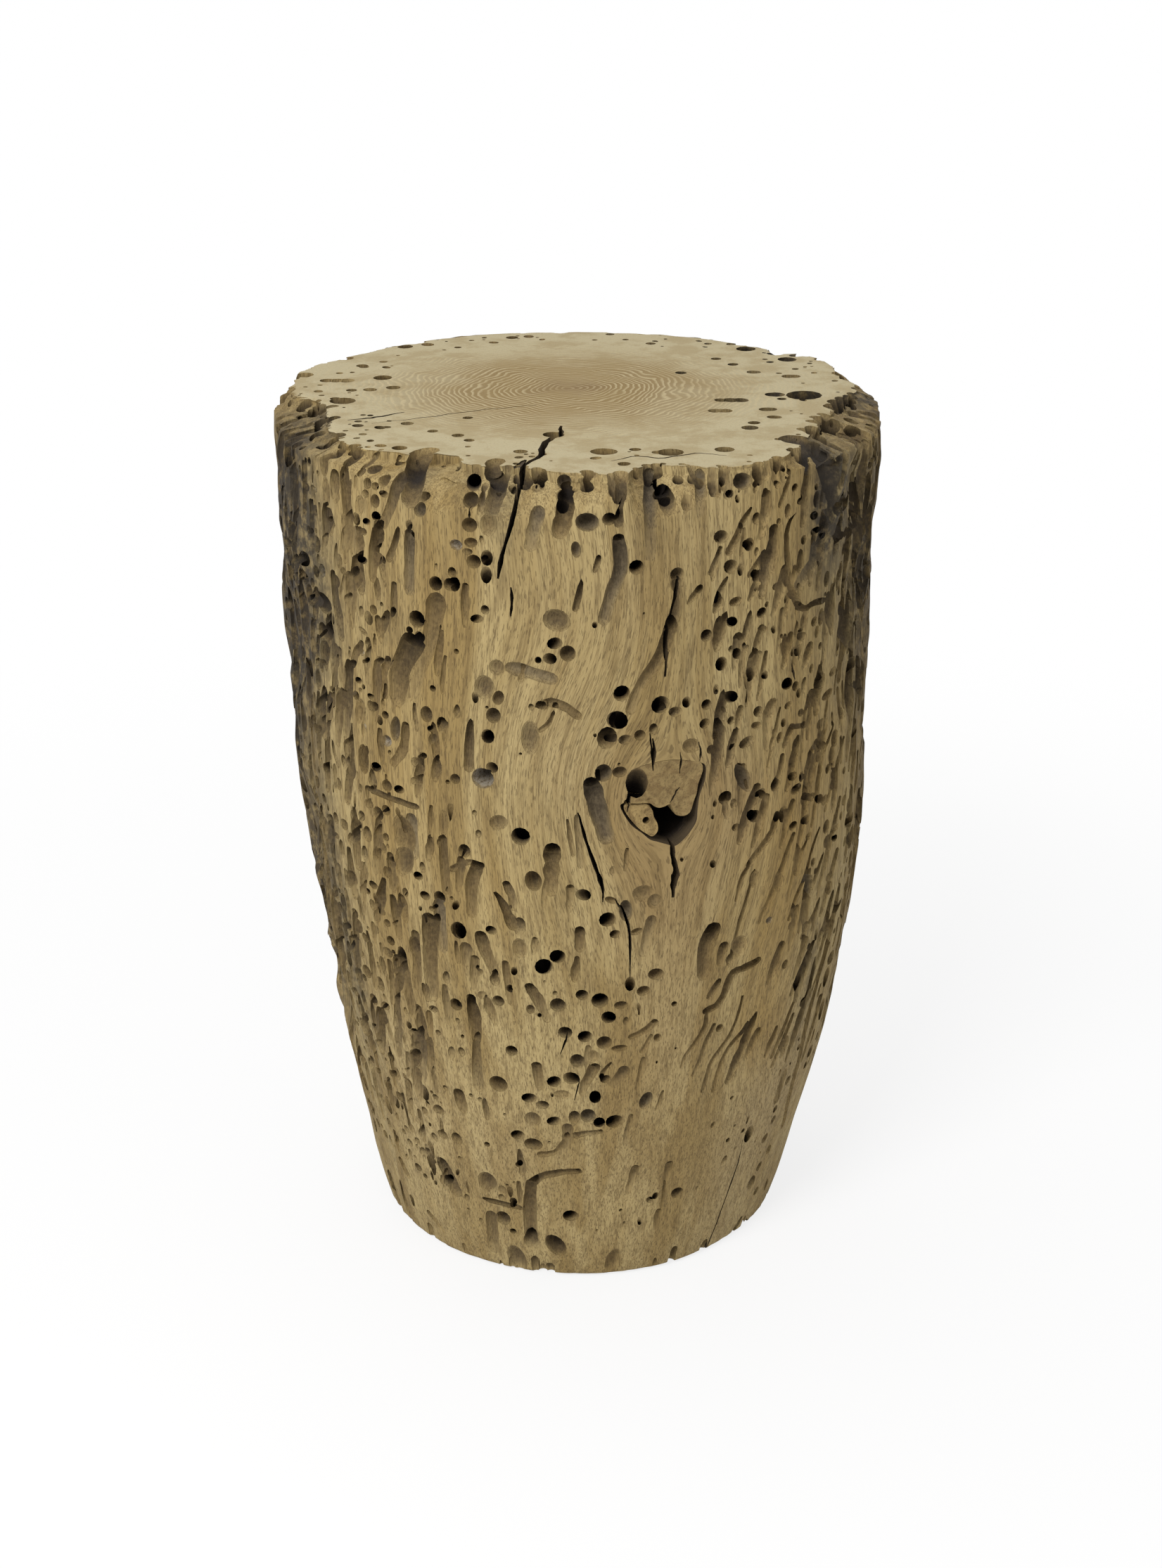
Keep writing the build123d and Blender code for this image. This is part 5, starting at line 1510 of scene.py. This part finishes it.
class Tree:
    """A node tree with short ways to add nodes and to join them."""

    def __init__(self, tree):
        self.tree = tree

    def add(self, kind, settings=None, **inputs):
        """New node. Each input takes a value or another node's socket."""
        node = self.tree.nodes.new("ShaderNode" + kind)
        for name, value in (settings or {}).items():
            setattr(node, name, value)
        self.fill(node, **inputs)
        return node

    def fill(self, node, **inputs):
        """Set a node's inputs, named with underscores for spaces, or numbered as i0, i1 and so on."""
        for name, value in inputs.items():
            numbered = name[0] == "i" and name[1:].isdigit()
            self.put(node.inputs[int(name[1:]) if numbered else name.replace("_", " ")], value)

    def put(self, socket, value):
        """Set a socket to a value, or link it from another node's socket."""
        if isinstance(value, bpy.types.NodeSocket):
            self.tree.links.new(value, socket)
        elif value is not None:
            socket.default_value = value

    def attribute(self, name, output="Fac"):
        """Socket of a stored attribute."""
        return self.add("Attribute", {"attribute_name": name}).outputs[output]

    def noise(self, vector, scale, detail=2.0, roughness=0.5, distortion=0.0):
        """Noise value at a place."""
        return self.add(
            "TexNoise", Vector=vector, Scale=scale, Detail=detail, Roughness=roughness, Distortion=distortion
        ).outputs["Fac"]

    def stretched(self, vector, scale):
        """Place with each direction scaled."""
        return self.add("VectorMath", {"operation": "MULTIPLY"}, i0=vector, i1=scale).outputs[0]

    def object_place(self):
        """The piece's own place, in millimetres."""
        return self.stretched(self.add("TexCoord").outputs["Object"], (1 / MM, 1 / MM, 1 / MM))

    def math(self, operation, first, second=None, clamp=False):
        """Result of a sum or another operation on one or two values."""
        return self.add("Math", {"operation": operation, "use_clamp": clamp}, i0=first, i1=second).outputs[0]

    def range(self, value, low, high, to_low=0.0, to_high=1.0):
        """Value moved from one span to another, kept inside it."""
        return self.add(
            "MapRange", {"interpolation_type": "SMOOTHSTEP"},
            Value=value, From_Min=low, From_Max=high, To_Min=to_low, To_Max=to_high,
        ).outputs[0]

    def blend(self, share, first, second, kind="MIX"):
        """Mix of two colours."""
        node = self.add("Mix", {"data_type": "RGBA", "blend_type": kind})
        self.fill(node, i0=share, i6=first, i7=second)
        return node.outputs[2]

    def tint(self, colour, share, strength, target):
        """Colour drawn towards another one, by a share times a strength."""
        return self.blend(self.math("MULTIPLY", share, strength), colour, target)


def new_group(name, inputs, outputs):
    """Empty node group with its sockets, its tree, and its input and output nodes."""
    group = bpy.data.node_groups.new(name, "ShaderNodeTree")
    for side, sockets in (("INPUT", inputs), ("OUTPUT", outputs)):
        for socket_name, kind in sockets:
            group.interface.new_socket(name=socket_name, in_out=side, socket_type="NodeSocket" + kind)
    tree = Tree(group)
    return group, tree, group.nodes.new("NodeGroupInput"), group.nodes.new("NodeGroupOutput")


def use_group(tree, group, **inputs):
    """Node that uses a group."""
    node = tree.tree.nodes.new("ShaderNodeGroup")
    node.node_tree = group
    tree.fill(node, **inputs)
    return node


# %% Long grain of the side
LONG_GRAIN, tree, given, result = new_group(
    "long_grain", [("Place", "Vector"), ("Run", "Float")],
    [("Bands", "Float"), ("Streaks", "Float"), ("Pores", "Float"), ("Height", "Float")],
)
place = given.outputs["Place"]
run = tree.add("CombineXYZ", X=1.0, Y=1.0, Z=given.outputs["Run"]).outputs[0]
along = tree.stretched(place, run)
bands = tree.noise(tree.stretched(along, (1, 1, 0.5)), 0.055, 4, 0.55, 0.6)
streaks = tree.noise(along, 0.42, 5, 0.62, 0.3)
fine = tree.noise(along, 1.25, 3, 0.6)
pores = tree.noise(tree.stretched(along, (1, 1, 2.2)), 1.9, 1, 0.4)
mixed = tree.math("ADD", tree.math("MULTIPLY", streaks, 0.5), tree.math("MULTIPLY", fine, 0.5))
ridges = tree.math("ADD", streaks, tree.math("MULTIPLY", fine, 0.7))
height = tree.math("SUBTRACT", ridges, tree.math("MULTIPLY", tree.range(pores, 0.56, 0.68), 0.35))
tree.fill(result, Bands=bands, Streaks=mixed, Pores=tree.range(pores, 0.60, 0.68), Height=height)

# %% Colour inside tunnels, cracks and saw cuts, shared by all the wood: the linings' own colours, and painted shade that darkens them with depth
LINED, tree, given, result = new_group(
    "tunnel_lining_and_painted_shade", [("Skin", "Color"), ("Place", "Vector")], [("Color", "Color"), ("Inside", "Float")]
)
lining = tree.attribute("lining")
depth = tree.attribute("depth")
inside = tree.math("GREATER_THAN", lining, 0.5)
tone = tree.math("FRACT", lining)
mottle = tree.noise(given.outputs["Place"], 0.5, 3, 0.6)
patchy = tree.math("MULTIPLY", tree.math("SUBTRACT", mottle, 0.5), 3.0)
# Painted shade: a millimetre or so down, the colour starts going towards near black, as if the tunnel shut out the
# light
deep = tree.range(tree.math("ADD", depth, patchy), 1.0, 11.0)
shade = tree.math("ADD", tree.math("MULTIPLY", tone, 0.6), tree.range(mottle, 0.36, 0.62, 0.0, 0.5), clamp=True)
brown = tree.blend(shade, paint(118, 98, 63), paint(74, 59, 38))
grey = tree.blend(shade, paint(112, 99, 78), paint(68, 59, 47))
white = tree.blend(tree.range(mottle, 0.35, 0.6), paint(100, 88, 70), paint(178, 170, 156))
wall = brown
# The cracks' colour is nearly black, painted shade in the narrow split. The knot's socket takes it too
crack_painted_shade, sawn_pale = paint(46, 35, 23), paint(158, 140, 104)
for kind, kind_colour in ((GREY, grey), (WHITE, white), (CRACK, crack_painted_shade), (SAWN, sawn_pale)):
    reached = tree.math("GREATER_THAN", lining, kind - 0.01)
    wall = tree.blend(reached, wall, kind_colour)
wall = tree.tint(wall, tree.range(tone, 0.25, 0.75), 0.25, paint(86, 75, 60))
# Cracks carry this painted shade right from the mouth. The other linings come in over the first few millimetres,
# partly as their own darker colour and partly as painted shade
split = tree.math("MULTIPLY", tree.math("GREATER_THAN", lining, CRACK - 0.01), 0.9)
near = tree.math("MAXIMUM", split, tree.range(depth, 0.1, 4.0, 0.22, 0.85))
# The lined colour, painted darker still with depth as shade
dark = tree.blend(deep, tree.blend(near, given.outputs["Skin"], wall), paint(30, 23, 16))
tree.fill(result, Color=tree.blend(inside, given.outputs["Skin"], dark), Inside=inside)


# %% Materials of the timber
def new_material(name):
    """Material with its tree, and its own shader."""
    material = bpy.data.materials.new(name)
    material.use_nodes = True
    tree = Tree(material.node_tree)
    return material, tree, material.node_tree.nodes["Principled BSDF"]


def bump(tree, height, distance, strength=1.0):
    """Normal that follows a height, in metres."""
    return tree.add("Bump", Height=height, Distance=distance, Strength=strength).outputs[0]


side_wood, tree, shader = new_material("bored_timber_side")
grain = tree.attribute("grain", "Vector")
long_grain = use_group(tree, LONG_GRAIN, Place=grain, Run=0.055)
light, brown = paint(170, 150, 104), paint(143, 121, 76)
skin_colour = tree.blend(tree.range(long_grain.outputs["Bands"], 0.36, 0.64), light, brown)
for name, strength, tone in (
    ("pale", 0.7, (170, 150, 109)), ("ochre", 0.6, (150, 122, 68)), ("rosy", 0.55, (140, 116, 77)),
):
    skin_colour = tree.tint(skin_colour, tree.attribute(name), strength, paint(*tone))
streak = tree.range(long_grain.outputs["Streaks"], 0.42, 0.62)
skin_colour = tree.tint(skin_colour, streak, 0.58, paint(96, 77, 46))
skin_colour = tree.tint(skin_colour, long_grain.outputs["Pores"], 0.5, paint(70, 54, 33))
lined = use_group(tree, LINED, Skin=skin_colour, Place=grain)
ragged = tree.noise(grain, 0.16, 4, 0.65)
black = tree.math("MULTIPLY", tree.attribute("stained"), tree.range(ragged, 0.34, 0.58, 0.35, 1.0))
worn_dark = tree.math("MULTIPLY", tree.attribute("eaten"), tree.range(ragged, 0.38, 0.56, 0.3, 1.0))
colour = tree.blend(worn_dark, lined.outputs["Color"], paint(64, 54, 39))
colour = tree.tint(colour, black, 0.9, paint(47, 42, 36))
relief = bump(tree, long_grain.outputs["Height"], 0.00035)
tree.fill(shader, Base_Color=colour, Roughness=0.82, Specular_IOR_Level=0.25, Normal=relief)

# %% [markdown]
# ## Sawn ends and knot wood
#
# A saw cut both ends square, so they show the growth rings round a heart that lies off the middle. Rings
# could be painted as circles, but a distance that a noise makes wobble looks grown. The knot's wood has
# no long grain: it was cut across a branch, so two soft noises make its swirl and its flecks.

# %% Growth rings of the sawn ends
# The heart of the tree lies behind the middle of the seat, and its rings stand this far apart
HEART = on_seat([(806, 553)])[0]
RING_SPACING = 3.1
RINGS, tree, given, result = new_group(
    "growth_rings", [("Place", "Vector")], [("Away", "Float"), ("Rings", "Float")]
)
heart = (HEART[0], HEART[1], 0)
from_heart = tree.add("VectorMath", {"operation": "SUBTRACT"}, i0=given.outputs["Place"], i1=heart).outputs[0]
flat = tree.stretched(from_heart, (1, 1, 0))
wobble = tree.math("MULTIPLY", tree.math("SUBTRACT", tree.noise(flat, 0.030, 3, 0.45), 0.5), 24)
away = tree.math("ADD", tree.add("VectorMath", {"operation": "LENGTH"}, i0=flat).outputs["Value"], wobble)
wave = tree.math("FRACT", tree.math("MULTIPLY", away, 1 / RING_SPACING))
rings = tree.math("MULTIPLY", tree.range(wave, 0.40, 0.75), tree.range(wave, 0.85, 1.0, 1.0, 0.0))
tree.fill(result, Away=away, Rings=rings)

seat_wood, tree, shader = new_material("bored_timber_seat")
place = tree.object_place()
rings = use_group(tree, RINGS, Place=place)
cloud = tree.noise(place, 0.028, 4, 0.6)
away = tree.math("ADD", rings.outputs["Away"], tree.math("MULTIPLY", tree.math("SUBTRACT", cloud, 0.5), 46))
skin_colour = tree.blend(tree.range(away, 36, 112), paint(128, 106, 64), paint(172, 160, 127))
skin_colour = tree.blend(tree.range(away, 4, 26, 0.9, 0.0), skin_colour, paint(118, 95, 57))
faint = tree.math("MULTIPLY", tree.range(away, 2, 30, 0.5, 1.0), tree.range(away, 76, 130, 0.75, 0.25))
skin_colour = tree.tint(skin_colour, rings.outputs["Rings"], faint, paint(182, 166, 128))
speck = tree.range(tree.noise(place, 0.9, 3, 0.7), 0.52, 0.68)
skin_colour = tree.tint(skin_colour, speck, 0.30, paint(118, 98, 64))
dull = tree.range(tree.noise(place, 0.05, 4, 0.65), 0.42, 0.62, 0.0, 0.45)
skin_colour = tree.blend(dull, skin_colour, paint(138, 117, 74))
lined = use_group(tree, LINED, Skin=skin_colour, Place=place).outputs["Color"]
relief = bump(tree, tree.noise(place, 1.1, 3, 0.6), 0.00012)
tree.fill(shader, Base_Color=lined, Roughness=0.72, Specular_IOR_Level=0.25, Normal=relief)

base_wood, tree, shader = new_material("bored_timber_base")
place = tree.object_place()
rings = use_group(tree, RINGS, Place=place)
skin_colour = tree.tint(paint(132, 112, 76), rings.outputs["Rings"], 0.5, paint(156, 138, 102))
saw = tree.noise(tree.stretched(place, (0.04, 1.3, 1)), 1.0, 3, 0.6)
skin_colour = tree.blend(tree.range(saw, 0.50, 0.70, 0.0, 0.35), skin_colour, paint(98, 80, 54))
lined = use_group(tree, LINED, Skin=skin_colour, Place=place).outputs["Color"]
tree.fill(shader, Base_Color=lined, Roughness=0.85, Specular_IOR_Level=0.2, Normal=bump(tree, saw, 0.0004))

# %% Knot wood: hard and brown, with a swirling figure
knot_woods = {}
for name, light, shade in (
    ("knot_upper", (139, 118, 77), (116, 95, 60)), ("knot_left", (150, 127, 82), (112, 91, 56)),
):
    knot_woods[name], tree, shader = new_material(name + "_wood")
    place = tree.object_place()
    swirl = tree.noise(place, 0.14, 5, 0.65, 0.7)
    fleck = tree.noise(place, 0.8, 3, 0.65)
    skin_colour = tree.blend(tree.range(swirl, 0.40, 0.62), paint(*light), paint(*shade))
    skin_colour = tree.blend(tree.range(fleck, 0.50, 0.68, 0.0, 0.45), skin_colour, paint(80, 61, 40))
    lined = use_group(tree, LINED, Skin=skin_colour, Place=place).outputs["Color"]
    relief = bump(tree, tree.math("ADD", swirl, fleck), 0.0006)
    tree.fill(shader, Base_Color=lined, Roughness=0.78, Specular_IOR_Level=0.25, Normal=relief)

print("knot woods:", ", ".join(knot_woods))

# %% Give the faces of the log their materials
log.data.materials.clear()
for material in (side_wood, seat_wood, base_wood):
    log.data.materials.append(material)
# How level a sawn end's faces are, and how far from its height they may lie, in millimetres
LEVEL_SHARE, SEAT_DEEP, BASE_HIGH = 0.9, 0.8, 1
tilt = values_of(log.data.polygons, "normal", 3)[:, 2]
height = (values_of(log.data.polygons, "center", 3) / MM)[:, 2]
outside = values_of(log.data.attributes["lining"].data, "value") < 0.5
on_top = outside & (tilt > LEVEL_SHARE) & (height > SEAT - SEAT_DEEP)
below = outside & (tilt < -LEVEL_SHARE) & (height < BASE + BASE_HIGH)
log.data.polygons.foreach_set("material_index", np.where(on_top, 1, np.where(below, 2, 0)).astype(np.int32))
print("faces on the seat:", int(on_top.sum()), "and on the base:", int(below.sum()))
for name, piece in knots.items():
    piece.data.materials.clear()
    piece.data.materials.append(knot_woods[name])
for piece in (log, *knots.values()):
    piece.data.shade_smooth()
    piece.data.set_sharp_from_angle(angle=math.radians(40))

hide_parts("trunk")
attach(log, "root")
for name, piece in knots.items():
    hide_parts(name)
    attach(piece, "root")

# %% [markdown]
# ## Glides under the log
#
# Four plastic cups sit in round recesses in the base, each with a felt disc that stands a little proud
# and a nail through its middle. The cups and nails keep the frame's own shape. The felt is softer, so it
# gets a rounded, slightly uneven disc of its own.

# %% Felt discs
felt, tree, shader = new_material("pressed_wool_felt")
place = tree.object_place()
fibres = tree.noise(place, 1.6, 5, 0.75, 2.5)
colour = tree.blend(tree.range(fibres, 0.3, 0.7), paint(74, 62, 48), paint(118, 102, 82))
tree.fill(shader, Base_Color=colour, Roughness=0.97, Sheen_Weight=0.4, Normal=bump(tree, fibres, 0.0006))

# The disc's section, from the dimple round the edge to the top, as shares of its radius and thickness
FELT_SIDES = 72
FELT_REACHES = (0.12, 0.22, 0.34, 0.5, 0.7, 0.86, 0.94, 0.98, 1.0, 1.0, 0.98, 0.94, 0.8)
FELT_HEIGHTS = (1.0, 0.35, 0.10, 0.02, 0.0, 0.02, 0.08, 0.18, 0.34, 0.7, 0.88, 1.0, 1.0)


def felt_disc(number):
    """Felt disc with a rounded edge and a dimple where the nail draws it in."""
    low, high = (np.array(corner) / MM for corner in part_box(f"glide_felt_{number}"))
    middle, radius, thick = (low + high) / 2, (high[0] - low[0]) / 2, high[2] - low[2]
    angles = np.arange(FELT_SIDES) * math.tau / FELT_SIDES
    uneven = 0.18 * soft_noise(angles / math.tau, 0.5, (13, 1), 50 + number)
    rings = []
    for share, height in zip(FELT_REACHES, FELT_HEIGHTS):
        reach = share * (radius - uneven * share)
        waves = 0.12 * soft_noise(angles / math.tau, share, (9, 4), 60 + number) * (height < 0.5)
        x, y = middle[0] + reach * np.cos(angles), middle[1] + reach * np.sin(angles)
        rings.append(np.column_stack([x, y, low[2] + thick * height + waves]))
    disc = mesh_object(f"felt_disc_{number}", *closed(rings))
    disc.data.materials.append(felt)
    disc.data.shade_smooth()
    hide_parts(f"glide_felt_{number}")
    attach(disc, "root")


for number in range(1, GLIDES + 1):
    felt_disc(number)
print("felt discs:", GLIDES)

# %% Cups and nails
plastic, tree, shader = new_material("brown_cup_plastic")
place = tree.object_place()
grit = tree.noise(place, 2.5, 3, 0.6)
colour = tree.blend(grit, paint(72, 52, 36), paint(88, 66, 46))
gloss = tree.range(grit, 0.3, 0.7, 0.38, 0.52)
tree.fill(shader, Base_Color=colour, Roughness=gloss, Normal=bump(tree, grit, 0.00005))
steel, tree, shader = new_material("nail_steel")
scuffs = tree.noise(tree.object_place(), 1.2, 4, 0.6)
colour = tree.blend(scuffs, paint(150, 150, 152), paint(184, 184, 184))
tree.fill(shader, Base_Color=colour, Metallic=1.0, Roughness=tree.range(scuffs, 0.3, 0.7, 0.28, 0.5))
for name, node in frame["nodes"].items():
    if name.startswith("glide_cup") or name == "glide_nails":
        node.data.materials.clear()
        node.data.materials.append(plastic if name.startswith("glide_cup") else steel)
        print(name, "keeps the frame's shape")

# %% [markdown]
# ## Floor and light
#
# A pale floor runs out far behind the log. Close to the log it takes the shadow, and further out it
# turns to plain white. A wide key lamp stands high at the front left, a weaker one hangs above, and the
# pale world fills the rest.

# %% Floor, world and lamps
def seen_share(tree):
    """One for what is seen, straight on, in a reflection or through glass, and zero for what only lights."""
    path = tree.add("LightPath").outputs
    straight = tree.math("MAXIMUM", path["Is Camera Ray"], path["Is Glossy Ray"])
    return tree.math("MAXIMUM", straight, path["Is Transmission Ray"])


floor_paint, tree, shader = new_material("pale_floor")
ground = tree.add("TexCoord").outputs["Object"]
far = tree.add("VectorMath", {"operation": "LENGTH"}, i0=ground).outputs["Value"]
glow = tree.add("Emission", Color=(1, 1, 1, 1), Strength=1.0)
mix = tree.add("MixShader")
tree.fill(shader, Base_Color=paint(244, 244, 244), Roughness=0.9)
plain = tree.math("MULTIPLY", seen_share(tree), tree.range(far, 0.22, 1.0, 0.80, 1.0))
tree.fill(mix, i0=plain, i1=shader.outputs[0], i2=glow.outputs[0])
tree.fill(tree.tree.nodes["Material Output"], Surface=mix.outputs[0])
FLOOR_REACH = 16
floor_corners = [(x * FLOOR_REACH, y * FLOOR_REACH, 0) for x, y in ((-1, -1), (1, -1), (1, 1), (-1, 1))]
floor_mesh = bpy.data.meshes.new("floor")
floor_mesh.from_pydata(floor_corners, [], [(0, 1, 2, 3)])
floor_mesh.materials.append(floor_paint)
floor = bpy.data.objects.new("floor", floor_mesh)
bpy.context.collection.objects.link(floor)
floor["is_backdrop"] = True

WORLD_LIGHT = 0.52
world = bpy.data.worlds.new("white_room")
bpy.context.scene.world = world
world.use_nodes = True
tree = Tree(world.node_tree)
light = tree.range(seen_share(tree), 0.0, 1.0, WORLD_LIGHT, 1.0)
tree.fill(world.node_tree.nodes["Background"], Color=(1, 1, 1, 1), Strength=light)


def lamp(name, place, aim, size, power):
    """Square area lamp that points at a place."""
    data = bpy.data.lights.new(name, "AREA")
    data.size, data.energy = size, power
    light = bpy.data.objects.new(name, data)
    light.location = place
    ahead = np.array(aim, float) - np.array(place, float)
    light.rotation_euler = mathutils.Vector(ahead).to_track_quat("-Z", "Y").to_euler()
    bpy.context.collection.objects.link(light)
    light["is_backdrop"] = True


print("floor of", 2 * FLOOR_REACH, "m and world light", WORLD_LIGHT)
lamp("key_lamp", (-0.85, -1.7, 1.9), (0, 0, 0.25), 0.9, 44)
lamp("top_lamp", (-0.3, 0.5, 2.4), (0, 0, 0.45), 1.2, 9)
bpy.context.scene.view_settings.view_transform = "Standard"

# %% Sizes and the end
low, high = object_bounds()
